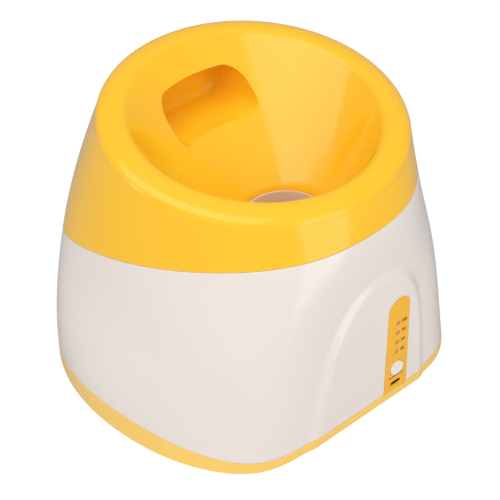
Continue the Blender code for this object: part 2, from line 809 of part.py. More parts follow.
def hopper_cap():
    """Cap with skirt, round rim, funnel, hand pocket and four screw bosses."""
    loops = [cap_loop(angle, seam) for angle, seam in zip(ANGLES, SEAM)]
    cap = add_piece("hopper_cap", ring_solid(loops), "yellow_gloss")
    pocket = add_piece("pocket_block", pocket_solid(POCKET_WALL), "yellow_gloss")
    cut(pocket, funnel_void(POCKET_SINK))
    shape = bmesh.new()
    shape.from_mesh(pocket.data)
    bpy.data.objects.remove(pocket, do_unlink=True)
    join(cap, shape)
    cut(cap, pocket_solid(0))
    rods = []
    ribs = []
    holes = []
    for angle, place, seam in boss_places(CAP_BOSS_BEARINGS, CAP_BOSS_INSET, seam_height):
        low = seam - LUG_DROP + GAP
        high = low + CAP_BOSS_HEIGHT
        here = Matrix.Translation((place.x, place.y, 0))
        rods.append(moved(rod(CAP_BOSS_RADIUS, low, high), here))
        rib_low = seam + SEAM_TONGUE + TONGUE_WALL
        ribs.append(rib(angle, place, rib_low, high - CAP_BOSS_RADIUS / 2, CAP_WALL / 2))
        holes.append(moved(rod(SCREW_HOLE, low - OVERRUN, low + SCREW_LENGTH), here))
    join(cap, merged(*rods))
    join(cap, merged(*ribs))
    cut(cap, merged(*holes))
    smooth(cap)


def skin_solid(low, high, grow):
    """Solid inside the outer skin between two heights, grown outwards."""
    outlines = []
    for step in range(SHELL_INNER_ROWS + 1):
        height = low + (high - low) * step / SHELL_INNER_ROWS
        outlines.append([wall(angle, height, -grow) for angle in ANGLES])
    return stack_solid(outlines)


def shell_loop(angle, base, seam):
    """Closed profile of the shell wall at one bearing."""
    low = base + GAP / 2
    high = seam - GAP / 2
    loop = [wall(angle, low + (high - low) * share) for share in SHELL_ROW_SHARES]
    tongue = CAP_WALL + GAP
    loop.append(wall(angle, high, tongue))
    loop.append(wall(angle, high + SEAM_TONGUE, tongue))
    loop.append(wall(angle, high + SEAM_TONGUE, tongue + TONGUE_WALL))
    loop.append(wall(angle, high - TONGUE_ROOT, tongue + TONGUE_WALL))
    inner_high = high - TONGUE_ROOT - SEAM_TONGUE_BACK
    inner_low = base + BASE_TONGUE
    for step in range(SHELL_INNER_ROWS + 1):
        height = inner_high + (inner_low - inner_high) * step / SHELL_INNER_ROWS
        loop.append(wall(angle, height, SHELL_WALL))
    loop.append(wall(angle, low, SHELL_WALL))
    return loop


def lug(angle, seam):
    """Flat lug inside the shell that a cap screw passes through."""
    outlines = []
    for height in (seam - LUG_DROP - LUG_THICKNESS, seam - LUG_DROP):
        foot = wall(angle, height, SHELL_WALL / 2)
        middle = wall(angle, seam, CAP_BOSS_INSET)
        middle.z = height
        along = (foot - middle).normalized()
        side = Vector((-along.y, along.x, 0))
        outline = [foot - side * CAP_BOSS_RADIUS, foot + side * CAP_BOSS_RADIUS]
        for step in range(SMALL_STEPS // 2 + 1):
            turn = math.pi * step / (SMALL_STEPS // 2)
            reach = side * math.cos(turn) - along * math.sin(turn)
            outline.append(middle + reach * CAP_BOSS_RADIUS)
        outlines.append(outline)
    return stack_solid(outlines)


def panel_outline(grow):
    """Outline of the panel tongue in its plane, grown on its free sides."""
    foot = PANEL_HALF_WIDTH + grow
    top = PANEL_TOP_HALF_WIDTH + grow
    low = BASE_SEAM_REAR + GAP / 2
    if grow:
        low -= OVERRUN
    shoulder = PANEL_TOP + grow - top
    outline = [(-foot, low), (foot, low)]
    for step in range(SMALL_STEPS + 1):
        turn = math.pi * step / SMALL_STEPS
        outline.append((top * math.cos(turn), shoulder + top * math.sin(turn)))
    return outline


def body_shell():
    """Tapered side wall with tongue, lugs, screw bosses, mouth hole and panel slot."""
    loops = [shell_loop(angle, base, seam) for angle, base, seam in zip(ANGLES, BASE_SEAM, SEAM)]
    shell = add_piece("body_shell", ring_solid(loops), "white_gloss")
    rods = []
    ribs = []
    holes = []
    for angle, place, seam in boss_places(SHELL_BOSS_BEARINGS, SHELL_BOSS_INSET, base_seam_height):
        low = FLOOR_TOP + GAP
        high = low + SHELL_BOSS_HEIGHT
        here = Matrix.Translation((place.x, place.y, 0))
        rods.append(moved(rod(SHELL_BOSS_RADIUS, low, high), here))
        rib_low = seam + BASE_TONGUE + TONGUE_WALL
        ribs.append(rib(angle, place, rib_low, high - SHELL_BOSS_RADIUS / 2, SHELL_WALL / 2))
        holes.append(moved(rod(SCREW_HOLE, low - OVERRUN, low + SCREW_LENGTH), here))
    lugs = []
    for angle, place, seam in boss_places(CAP_BOSS_BEARINGS, CAP_BOSS_INSET, seam_height):
        lugs.append(lug(angle, seam))
        here = Matrix.Translation((place.x, place.y, seam - LUG_DROP))
        holes.append(moved(rod(SCREW_HOLE, -LUG_THICKNESS - OVERRUN, OVERRUN), here))
    sleeve = BARREL_RADIUS + GAP + MOUTH_SLEEVE_WALL
    reach = MOUTH_SLEEVE_LENGTH
    holes.append(moved(rod(sleeve + GAP, -reach, reach, TUBE_STEPS), MOUTH_FRAME))
    slot = prism(panel_outline(GAP), -PANEL_THICKNESS - OVERRUN, PANEL_PROUD + OVERRUN)
    holes.append(moved(slot, panel_frame(0)))
    join(shell, merged(*rods, *lugs))
    join(shell, merged(*ribs))
    cut(shell, merged(*holes))
    smooth(shell)


def post(x, y, radius, low, slope_to=None, high=0):
    """Round post on the tray, level on top or sloped to a plane."""
    turns = [2 * math.pi * step / SMALL_STEPS for step in range(SMALL_STEPS)]
    outline = [(x + radius * math.cos(turn), y + radius * math.sin(turn)) for turn in turns]
    bottom = [(px, py, low) for px, py in outline]
    if slope_to is None:
        return stack_solid([bottom, [(px, py, high) for px, py in outline]])
    return stack_solid([bottom, [(px, py, slope_to(py)) for px, py in outline]])


def deck_underside(y):
    """Height of the top of a deck post at a place along Y."""
    start = line_point(WHEEL_SETBACK)
    rise = DECK_RISE - GAP - LIFT.y * (y - start.y)
    return start.z + rise / LIFT.z


def deck_posts():
    """Places of the deck screws on the deck's top, in world space."""
    places = []
    for side in (1, -1):
        for end in (1, -1):
            local = Vector((side * DECK_POST_ACROSS, end * DECK_POST_ALONG, DECK_TOP))
            places.append(DECK_FRAME @ local)
    return places


def board_posts():
    """Places of the posts under the main board."""
    across = MAIN_BOARD_HALF_WIDTH - MAIN_BOARD_POST_INSET
    along = MAIN_BOARD_HALF_DEPTH - MAIN_BOARD_POST_INSET
    corners = ((1, 1), (-1, 1), (-1, -1), (1, -1))
    return [(MAIN_BOARD_X + side * across, MAIN_BOARD_Y + end * along) for side, end in corners]


def base_tray():
    """Base band with ledge, tongue, floor, posts, cradles and foot recesses."""
    inset = SHELL_WALL + GAP
    rows = (
        lambda angle, seam: wall(angle, GROUND_CLEARANCE, GAP),
        lambda angle, seam: wall(angle, GROUND_CLEARANCE + TRAY_FLOOR / 4),
        lambda angle, seam: wall(angle, (GROUND_CLEARANCE + seam) / 2),
        lambda angle, seam: wall(angle, seam - GAP / 2),
        lambda angle, seam: wall(angle, seam - GAP / 2, inset),
        lambda angle, seam: wall(angle, seam + BASE_TONGUE, inset),
        lambda angle, seam: wall(angle, seam + BASE_TONGUE, inset + TONGUE_WALL),
        lambda angle, seam: wall(angle, FLOOR_TOP, inset + TONGUE_WALL),
    )
    outlines = [[row(angle, seam) for angle, seam in zip(ANGLES, BASE_SEAM)] for row in rows]
    tray = add_piece("base_tray", stack_solid(outlines), "yellow_gloss")
    sunk = FLOOR_TOP - TRAY_FLOOR / 2
    solids = []
    holes = []
    for place in deck_posts():
        start = place - LIFT * DECK_TOP
        foot = start + LIFT * DECK_RISE
        solids.append(post(foot.x, foot.y, POST_RADIUS, sunk, deck_underside))
        bore = rod(SCREW_HOLE, -SCREW_LENGTH - GAP, OVERRUN, SCREW_STEPS)
        holes.append(moved(bore, frame(foot, SIDE, -LAUNCH, LIFT)))
    lift = FLOOR_TOP + MAIN_BOARD_LIFT
    for x, y in board_posts():
        solids.append(post(x, y, MAIN_BOARD_POST, sunk, None, lift))
    for setback in (SADDLE_REAR_SETBACK, SADDLE_FRONT_SETBACK):
        place = line_point(setback)
        low = (-SADDLE_HALF_WIDTH, place.y - SADDLE_THICKNESS / 2, sunk)
        high = (SADDLE_HALF_WIDTH, place.y + SADDLE_THICKNESS / 2, place.z)
        solids.append(block(low, high))
    low = (-SADDLE_HALF_WIDTH, CRADLE_PLACE - SADDLE_THICKNESS / 2, sunk)
    high = (SADDLE_HALF_WIDTH, CRADLE_PLACE + SADDLE_THICKNESS / 2, ELBOW_HEIGHT - CHUTE_RADIUS / 2)
    solids.append(block(low, high))
    join(tray, merged(*solids))
    barrel = rod(BARREL_RADIUS + GAP, -BARREL_SETBACK, -OVERRUN, TUBE_STEPS)
    cut(tray, merged(moved(barrel, MOUTH_FRAME)))
    cut(tray, chute_solid(CHUTE_RADIUS + GAP, BARREL_RADIUS + GAP))
    for angle, place, _ in boss_places(SHELL_BOSS_BEARINGS, SHELL_BOSS_INSET, base_seam_height):
        here = Matrix.Translation((place.x, place.y, GROUND_CLEARANCE))
        profile = [
            (0, -OVERRUN),
            (SCREW_HEAD_RADIUS + GAP, -OVERRUN),
            (SCREW_HEAD_RADIUS + GAP, SCREW_RECESS),
            (SCREW_HOLE, SCREW_RECESS),
            (SCREW_HOLE, TRAY_FLOOR + OVERRUN / 2),
            (0, TRAY_FLOOR + OVERRUN / 2),
        ]
        holes.append(moved(turned(profile, SMALL_STEPS), here))
    for across, along in FOOT_PLACES_SHARES:
        here = Matrix.Translation((across * BASE_RADIUS, along * BASE_RADIUS, 0))
        recess = rod(FOOT_RADIUS + GAP, -OVERRUN, FOOT_HEIGHT + GAP, SMALL_STEPS)
        holes.append(moved(recess, here))
    cut(tray, merged(*holes))
    smooth(tray)


def chute_path():
    """Centre line of the chute: places and directions from its top to the barrel."""
    end = line_point(BARREL_SETBACK)
    corner = Vector((0, THROAT_OFFSET, ELBOW_HEIGHT))
    down = -TOP
    run = (end - corner).normalized()
    turn = down.angle(run)
    tangent = ELBOW_BEND * math.tan(turn / 2)
    start = corner - down * tangent
    inside = start + (run - down * run.dot(down)).normalized() * ELBOW_BEND
    path = [(Vector((0, THROAT_OFFSET, THROAT_HEIGHT - CHUTE_LIP_DROP)), down)]
    out = (start - inside).normalized()
    for step in range(ELBOW_ROWS + 1):
        angle = turn * step / ELBOW_ROWS
        place = inside + (out * math.cos(angle) + down * math.sin(angle)) * ELBOW_BEND
        path.append((place, down * math.cos(angle) - out * math.sin(angle)))
    path.append((end, run))
    return path


def chute_rings(wide, narrow):
    """Rings of one wall of the chute; the last one stands upright."""
    path = chute_path()
    rings = []
    for place, direction in path:
        last = place is path[-1][0]
        radius = narrow if last else wide
        up = direction.cross(SIDE)
        ring = []
        for step in range(TUBE_STEPS):
            turn = 2 * math.pi * step / TUBE_STEPS
            point = place + (SIDE * math.cos(turn) + up * math.sin(turn)) * radius
            if last:
                point += direction * (place.y + GAP - point.y) / direction.y
            ring.append(point)
        rings.append(ring)
    return rings


def chute_solid(wide, narrow):
    """Filled form of the chute."""
    return stack_solid(chute_rings(wide, narrow))


def feed_chute():
    """Curved tube from the throat down to the barrel, with a slot for the feed wheel."""
    outer = chute_rings(CHUTE_RADIUS, BARREL_RADIUS)
    inner = chute_rings(CHUTE_RADIUS - CHUTE_WALL, BARREL_BORE)
    loops = []
    for step in range(TUBE_STEPS):
        loops.append([ring[step] for ring in outer] + [ring[step] for ring in reversed(inner)])
    chute = add_piece("feed_chute", ring_solid(loops), "pale_inner")
    half = FEED_HALF_WIDTH + FEED_SLOT_MARGIN
    radius = FEED_ARM_LENGTH + FEED_SLOT_MARGIN
    cut(chute, moved(rod(radius, -half, half, TUBE_STEPS), FEED_FRAME))
    smooth(chute)


def launch_barrel():
    """Round barrel with a window on each side for the tyres."""
    back = line_point(BARREL_SETBACK)
    front = MOUTH_FLANGE_DEPTH - MOUTH_LIP - GAP
    loops = []
    for step in range(TUBE_STEPS):
        turn = 2 * math.pi * step / TUBE_STEPS
        spoke = SIDE * math.cos(turn) + LIFT * math.sin(turn)
        loop = []
        for radius in (BARREL_BORE, BARREL_RADIUS):
            point = back + spoke * radius
            loop.append(point + LAUNCH * (back.y - point.y) / LAUNCH.y)
        for radius in (BARREL_RADIUS, BARREL_BORE):
            loop.append(MOUTH + LAUNCH * front + spoke * radius)
        loops.append(loop)
    barrel = add_piece("launch_barrel", ring_solid(loops), "pale_inner")
    tools = []
    for side in (1, -1):
        radius = TYRE_RADIUS + TYRE_SQUEEZE
        half = TYRE_WIDTH / 2 + TYRE_SQUEEZE
        tools.append(moved(rod(radius, -half, half, WHEEL_STEPS), wheel_frame(side)))
    cut(barrel, merged(*tools))
    smooth(barrel)


def mouth_ring():
    """Bezel of the launch mouth: flange on the wall, lip over the barrel and sleeve."""
    bore = BARREL_RADIUS + GAP
    front = MOUTH_FLANGE_DEPTH
    profile = [
        (bore, -MOUTH_SLEEVE_LENGTH / 2),
        (MOUTH_FLANGE_RADIUS, -MOUTH_SLEEVE_LENGTH / 2),
        (MOUTH_FLANGE_RADIUS, front - MOUTH_EDGE),
        (MOUTH_FLANGE_RADIUS - MOUTH_EDGE, front),
        (BARREL_BORE + MOUTH_EDGE, front),
        (BARREL_BORE, front - MOUTH_EDGE),
        (BARREL_BORE, front - MOUTH_LIP),
        (bore, front - MOUTH_LIP),
    ]
    ring = add_piece("mouth_ring", turned(profile), "yellow_gloss", MOUTH_FRAME)
    cut(ring, skin_solid(GROUND_CLEARANCE, MOUTH_HEIGHT + 2 * MOUTH_FLANGE_RADIUS, GAP))
    sleeve_top = front - MOUTH_LIP - GAP / 2
    sleeve = pipe(bore, bore + MOUTH_SLEEVE_WALL, -MOUTH_SLEEVE_LENGTH, sleeve_top)
    join(ring, moved(sleeve, MOUTH_FRAME))
    smooth(ring)


def motor_deck():
    """Bridge over the barrel with a socket for each motor."""
    inner = BARREL_RADIUS + GAP
    outer = inner + DECK_THICKNESS
    start = math.asin(DECK_RISE / inner)
    end = math.asin(DECK_TOP / outer)
    outline = [(DECK_HALF_WIDTH, DECK_TOP), (DECK_HALF_WIDTH, DECK_RISE)]
    for step in range(DECK_ARC_STEPS + 1):
        turn = start + (math.pi - 2 * start) * step / DECK_ARC_STEPS
        outline.append((inner * math.cos(turn), inner * math.sin(turn)))
    outline += [(-DECK_HALF_WIDTH, DECK_RISE), (-DECK_HALF_WIDTH, DECK_TOP)]
    for step in range(DECK_ARC_STEPS + 1):
        turn = math.pi - end - (math.pi - 2 * end) * step / DECK_ARC_STEPS
        outline.append((outer * math.cos(turn), outer * math.sin(turn)))
    bridge = prism(outline, -DECK_HALF_DEPTH, DECK_HALF_DEPTH)
    deck = add_piece("motor_deck", bridge, "grey_plastic", BARREL_FRAME)
    quarter = ((DECK_HALF_WIDTH, DECK_SIDE_DEPTH), (DECK_FRONT_WIDTH, DECK_HALF_DEPTH))
    plan = [(x, y) for x, y in quarter]
    plan += [(-x, y) for x, y in reversed(quarter)]
    plan += [(-x, -y) for x, y in quarter]
    plan += [(x, -y) for x, y in reversed(quarter)]
    apply_tool(deck, moved(prism(plan, 0, 2 * outer), DECK_FRAME), "INTERSECT")
    sockets = []
    holes = []
    for side in (1, -1):
        bore = MOTOR_RADIUS + GAP
        middle = DECK_RISE + DECK_THICKNESS / 2
        socket = pipe(bore, bore + DECK_SOCKET_WALL, middle, DECK_TOP + DECK_SOCKET_HEIGHT, WHEEL_STEPS)
        sockets.append(moved(socket, wheel_frame(side)))
        opening = rod(MOTOR_BOSS_RADIUS + GAP, 0, DECK_TOP + OVERRUN)
        holes.append(moved(opening, wheel_frame(side)))
    for place in deck_posts():
        hole = rod(SCREW_HOLE, -DECK_THICKNESS - OVERRUN, OVERRUN, SCREW_STEPS)
        holes.append(moved(hole, frame(place, SIDE, -LAUNCH, LIFT)))
    join(deck, merged(*sockets))
    cut(deck, merged(*holes))
    smooth(deck)


def motor_profile(radius, length, bore, depth, boss_radius, boss_height):
    """Profile of a motor can whose front face lies at zero, shaft bore first."""
    edge = boss_height / 2
    return [
        (0, depth),
        (bore, depth),
        (bore, -boss_height),
        (boss_radius, -boss_height),
        (boss_radius, 0),
        (radius - edge, 0),
        (radius, edge),
        (radius, length - edge),
        (radius - edge, length),
        (boss_radius, length),
        (boss_radius, length + edge),
        (0, length + edge),
    ]


def flywheel_drive(side, name):
    """Motor, shaft, hub and tyre on one side of the barrel."""
    place = wheel_frame(side)
    bore = SHAFT_RADIUS + GAP
    seat = DECK_TOP + GAP
    profile = motor_profile(
        MOTOR_RADIUS, MOTOR_LENGTH, bore, SHAFT_BORE_DEPTH, MOTOR_BOSS_RADIUS, MOTOR_BOSS_HEIGHT
    )
    raised = [(radius, seat + height) for radius, height in profile]
    smooth(add_piece("launch_motor_" + name, turned(raised, WHEEL_STEPS), "motor_can", place))
    half = TYRE_WIDTH / 2
    shaft = rod(SHAFT_RADIUS, -half, seat + SHAFT_BORE_DEPTH - GAP, SCREW_STEPS)
    smooth(add_piece("motor_shaft_" + name, shaft, "zinc_steel", place))
    rim = TYRE_RADIUS - TYRE_THICKNESS - GAP
    boss = bore + HUB_BORE_WALL
    web = HUB_WEB / 2
    hub_profile = [
        (bore, -half),
        (boss, -half),
        (boss, -web),
        (rim - RIM_WALL, -web),
        (rim - RIM_WALL, -half),
        (rim, -half),
        (rim, half),
        (rim - RIM_WALL, half),
        (rim - RIM_WALL, web),
        (boss, web),
        (boss, half),
        (bore, half),
    ]
    hub = add_piece("flywheel_" + name, turned(hub_profile, WHEEL_STEPS), "white_nylon", place)
    holes = []
    middle = (boss + rim - RIM_WALL) / 2
    for step in range(HUB_HOLES):
        turn = 2 * math.pi * step / HUB_HOLES
        here = Matrix.Translation((middle * math.cos(turn), middle * math.sin(turn), 0))
        holes.append(moved(rod(HUB_HOLE_RADIUS, -half, half, SCREW_STEPS), place @ here))
    cut(hub, merged(*holes))
    smooth(hub)
    shoulder = half - TYRE_CROWN - TYRE_CROWN
    tyre_profile = [
        (TYRE_RADIUS - TYRE_THICKNESS, -half),
        (TYRE_RADIUS - TYRE_CROWN, -half),
        (TYRE_RADIUS, -shoulder),
        (TYRE_RADIUS, shoulder),
        (TYRE_RADIUS - TYRE_CROWN, half),
        (TYRE_RADIUS - TYRE_THICKNESS, half),
    ]
    smooth(add_piece("tyre_" + name, turned(tyre_profile, WHEEL_STEPS), "rubber", place))


def feed_wheel():
    """Three-armed wheel that lets one ball fall at a time."""
    outline = []
    for arm in range(FEED_ARMS):
        turn = math.pi + 2 * math.pi * arm / FEED_ARMS
        along = Vector((math.cos(turn), math.sin(turn)))
        side = Vector((-along.y, along.x))
        root = FEED_ARM_THICKNESS / 2
        tip = FEED_TIP_THICKNESS / 2
        shoulder = math.sqrt(FEED_HUB_RADIUS ** 2 - root ** 2)
        outline.append(along * shoulder - side * root)
        for step in range(SMALL_STEPS // 2 + 1):
            bend = math.pi * step / (SMALL_STEPS // 2)
            reach = FEED_ARM_LENGTH - tip + tip * math.sin(bend)
            outline.append(along * reach - side * tip * math.cos(bend))
        outline.append(along * shoulder + side * root)
        gap_start = turn + math.asin(root / FEED_HUB_RADIUS)
        gap_turn = 2 * math.pi / FEED_ARMS - 2 * math.asin(root / FEED_HUB_RADIUS)
        for step in range(1, SMALL_STEPS // 2):
            bend = gap_start + gap_turn * step / (SMALL_STEPS // 2)
            outline.append(Vector((math.cos(bend), math.sin(bend))) * FEED_HUB_RADIUS)
    solid = prism([(point.x, point.y) for point in outline], -FEED_HALF_WIDTH, FEED_HALF_WIDTH)
    wheel = add_piece("feed_wheel", solid, "grey_plastic", FEED_FRAME)
    bore = FEED_SHAFT_RADIUS + GAP
    half = FEED_HALF_WIDTH + OVERRUN
    cut(wheel, moved(rod(bore, -half, half), FEED_FRAME))
    smooth(wheel)


def gear_outline(teeth, phase):
    """Outline of an involute gear with a tooth at the phase."""
    pitch = GEAR_MODULE * teeth / 2
    base = pitch * math.cos(PRESSURE_ANGLE)
    tip = pitch + GEAR_MODULE * GEAR_TIP_SHARE
    root = pitch - GEAR_MODULE * GEAR_ROOT_SHARE
    half_tooth = math.pi * GEAR_TOOTH_SHARE / teeth + math.tan(PRESSURE_ANGLE) - PRESSURE_ANGLE
    flank = []
    for radius in (root, max(base, (root + pitch) / 2), tip):
        lean = math.acos(min(1.0, base / radius))
        flank.append((radius, half_tooth - math.tan(lean) + lean))
    outline = []
    for tooth in range(teeth):
        middle = phase + 2 * math.pi * tooth / teeth
        for radius, half in flank:
            outline.append((radius * math.cos(middle - half), radius * math.sin(middle - half)))
        for radius, half in reversed(flank):
            outline.append((radius * math.cos(middle + half), radius * math.sin(middle + half)))
    return outline


def feed_drive():
    """Shaft, gear, pinion, motor and frame of the feed wheel."""
    collar = FEED_SHAFT_RADIUS + SHAFT_COLLAR
    left = -FRAME_LEFT - FRAME_PLATE - GAP
    right = FRAME_RIGHT + FRAME_PLATE + GAP
    profile = [
        (0, left - SHAFT_COLLAR),
        (collar, left - SHAFT_COLLAR),
        (collar, left),
        (FEED_SHAFT_RADIUS, left),
        (FEED_SHAFT_RADIUS, right),
        (collar, right),
        (collar, right + SHAFT_COLLAR),
        (0, right + SHAFT_COLLAR),
    ]
    smooth(add_piece("feed_shaft", turned(profile, SMALL_STEPS), "zinc_steel", FEED_FRAME))
    bore = FEED_SHAFT_RADIUS + GAP
    high = GEAR_PLACE + GEAR_WIDTH
    teeth = prism(gear_outline(GEAR_TEETH, -math.pi / 2), GEAR_PLACE, high)
    gear = add_piece("feed_gear", teeth, "white_nylon", FEED_FRAME)
    cut(gear, moved(rod(bore, GEAR_PLACE - OVERRUN, high + OVERRUN), FEED_FRAME))
    smooth(gear)
    phase = math.pi / 2 + math.pi / PINION_TEETH
    small = prism(gear_outline(PINION_TEETH, phase), GEAR_PLACE, high)
    pinion = add_piece("feed_pinion", small, "white_nylon", PINION_FRAME)
    motor_face = FRAME_RIGHT + FRAME_PLATE + GAP
    middle = (GEAR_PLACE + high) / 2
    spindle = rod(PINION_SHAFT_RADIUS, middle, motor_face + GEAR_WIDTH, SCREW_STEPS)
    join(pinion, moved(spindle, PINION_FRAME))
    smooth(pinion)
    shell = motor_profile(
        FEED_MOTOR_RADIUS,
        FEED_MOTOR_LENGTH,
        PINION_SHAFT_RADIUS + GAP,
        GEAR_WIDTH + GAP,
        PINION_SHAFT_RADIUS * 3,
        FRAME_PLATE / 2,
    )
    raised = [(radius, motor_face + height) for radius, height in shell]
    smooth(add_piece("feed_motor", turned(raised, WHEEL_STEPS), "motor_can", PINION_FRAME))
    low = FLOOR_TOP + GAP
    high = FEED_HEIGHT + FRAME_SHAFT_MARGIN
    outline = [
        (-FRAME_LEFT - FRAME_PLATE, low),
        (FRAME_RIGHT + FRAME_PLATE, low),
        (FRAME_RIGHT + FRAME_PLATE, high),
        (FRAME_RIGHT, high),
        (FRAME_RIGHT, low + FRAME_FOOT),
        (-FRAME_LEFT, low + FRAME_FOOT),
        (-FRAME_LEFT, high),
        (-FRAME_LEFT - FRAME_PLATE, high),
    ]
    upright = frame(Vector((0, FEED_BACK, 0)), SIDE, TOP, -REAR)
    solid = prism(outline, -FRAME_HALF_DEPTH, FRAME_HALF_DEPTH)
    bracket = add_piece("feed_frame", solid, "grey_plastic", upright)
    reach = FRAME_RIGHT + FRAME_PLATE + OVERRUN
    through = moved(rod(bore, -reach, reach), FEED_FRAME)
    window = rod(PINION_SHAFT_RADIUS * 3 + GAP, 0, reach)
    cut(bracket, merged(through, moved(window, PINION_FRAME)))
    smooth(bracket)


def control_panel():
    """Panel tongue with holes for lenses, button and socket, and posts for its board."""
    solid = prism(panel_outline(0), -PANEL_BACK, PANEL_PROUD)
    panel = add_piece("control_panel", solid, "panel_yellow", panel_frame(0))
    posts = []
    for height in (BOARD_POST_HIGH, BOARD_POST_LOW):
        stand = rod(BOARD_POST_RADIUS, GAP - BOARD_FRONT, -PANEL_BACK / 2, SCREW_STEPS)
        posts.append(moved(stand, panel_frame(height)))
    join(panel, merged(*posts))
    low = -PANEL_BACK - OVERRUN / 2
    high = PANEL_PROUD + OVERRUN
    holes = []
    for height in LENS_HEIGHTS:
        here = panel_frame(height) @ Matrix.Translation((LENS_OFFSET, 0, 0))
        holes.append(moved(rod(LENS_RADIUS + GAP, low, high, LENS_STEPS), here))
    holes.append(moved(rod(BUTTON_RADIUS + GAP, low, high, WHEEL_STEPS), panel_frame(BUTTON_HEIGHT)))
    outline = rounded_rectangle(USB_HALF_WIDTH + GAP, USB_HALF_HEIGHT + GAP, USB_HALF_HEIGHT)
    holes.append(moved(prism(outline, low, high), panel_frame(USB_HEIGHT)))
    cut(panel, merged(*holes))
    smooth(panel)


def panel_parts():
    """Lenses, button, charging socket, small board and switch."""
    flange = -PANEL_BACK - GAP
    lens_radius = LENS_RADIUS + GAP + LENS_FLANGE
    profile = [
        (0, GAP - BOARD_FRONT),
        (LENS_RADIUS, GAP - BOARD_FRONT),
        (LENS_RADIUS, flange - LENS_FLANGE_DEPTH),
        (lens_radius, flange - LENS_FLANGE_DEPTH),
        (lens_radius, flange),
        (LENS_RADIUS, flange),
        (LENS_RADIUS, PANEL_PROUD),
        (0, PANEL_PROUD + LENS_PROUD),
    ]
    lens = mesh_from(turned(profile, LENS_STEPS), "led_lens")
    for number, height in enumerate(LENS_HEIGHTS, 1):
        here = panel_frame(height) @ Matrix.Translation((LENS_OFFSET, 0, 0))
        smooth(add_piece(f"led_lens_{number}", lens, "clear_lens", here))
    crown = PANEL_PROUD + BUTTON_PROUD
    wide = BUTTON_RADIUS + BUTTON_FLANGE
    switch_top = -BOARD_FRONT + GAP + SWITCH_HEIGHT + SWITCH_PLUNGER
    profile = [
        (0, switch_top + BUTTON_TRAVEL + GAP),
        (BUTTON_STEM_RADIUS, switch_top + BUTTON_TRAVEL + GAP),
        (BUTTON_STEM_RADIUS, flange - BUTTON_FLANGE_DEPTH),
        (wide, flange - BUTTON_FLANGE_DEPTH),
        (wide, flange),
        (BUTTON_RADIUS, flange),
        (BUTTON_RADIUS, crown - PANEL_PROUD),
        (BUTTON_RADIUS - PANEL_PROUD, crown),
        (0, crown),
    ]
    here = panel_frame(BUTTON_HEIGHT)
    smooth(add_piece("power_button", turned(profile, WHEEL_STEPS), "white_gloss", here))
    size = SWITCH_HALF_SIZE
    low = GAP - BOARD_FRONT
    body = block((-size, -size, low), (size, size, low + SWITCH_HEIGHT))
    switch = add_piece("tact_switch", body, "black_plastic", here)
    nub = rod(BUTTON_STEM_RADIUS, low + SWITCH_HEIGHT / 2, switch_top, SCREW_STEPS)
    join(switch, moved(nub, here))
    smooth(switch)
    here = panel_frame(USB_HEIGHT)
    front = PANEL_PROUD - USB_RECESS
    outline = rounded_rectangle(USB_HALF_WIDTH, USB_HALF_HEIGHT, USB_HALF_HEIGHT - GAP)
    socket = add_piece("usb_socket", prism(outline, GAP - BOARD_FRONT, front), "zinc_steel", here)
    across = USB_HALF_WIDTH - USB_WALL
    along = USB_HALF_HEIGHT - USB_WALL
    hollow = rounded_rectangle(across, along, along - GAP)
    cut(socket, moved(prism(hollow, front - USB_DEPTH, front + OVERRUN), here))
    thin = USB_TONGUE / 2
    side = across - USB_TONGUE
    tongue = block((-side, -thin, front - USB_DEPTH - USB_WALL), (side, thin, front - USB_TONGUE))
    join(socket, moved(tongue, here))
    smooth(socket)
    here = panel_frame(0)
    middle = (BOARD_TOP + BOARD_BOTTOM) / 2
    outline = rounded_rectangle(BOARD_HALF_WIDTH, (BOARD_TOP - BOARD_BOTTOM) / 2, BOARD_THICKNESS)
    raised = [(x, middle + y) for x, y in outline]
    board = prism(raised, -BOARD_FRONT - BOARD_THICKNESS, -BOARD_FRONT)
    smooth(add_piece("panel_board", board, "board_green", here))


def main_board():
    """Control board with its chip and capacitor."""
    low = FLOOR_TOP + MAIN_BOARD_LIFT + GAP
    outline = rounded_rectangle(MAIN_BOARD_HALF_WIDTH, MAIN_BOARD_HALF_DEPTH, MAIN_BOARD_CORNER)
    here = Matrix.Translation((MAIN_BOARD_X, MAIN_BOARD_Y, low))
    board = add_piece("main_board", prism(outline, 0, BOARD_THICKNESS), "board_green", here)
    half = CHIP_HALF_WIDTH
    middle = BOARD_THICKNESS / 2
    chip = block((-half, -half, middle), (half, half, BOARD_THICKNESS + CHIP_HEIGHT))
    place = MAIN_BOARD_HALF_DEPTH / 2
    can = rod(CAPACITOR_RADIUS, middle, BOARD_THICKNESS + CAPACITOR_HEIGHT)
    can = moved(can, Matrix.Translation((0, place, 0)))
    join(board, moved(merged(chip, can), here))
    smooth(board)


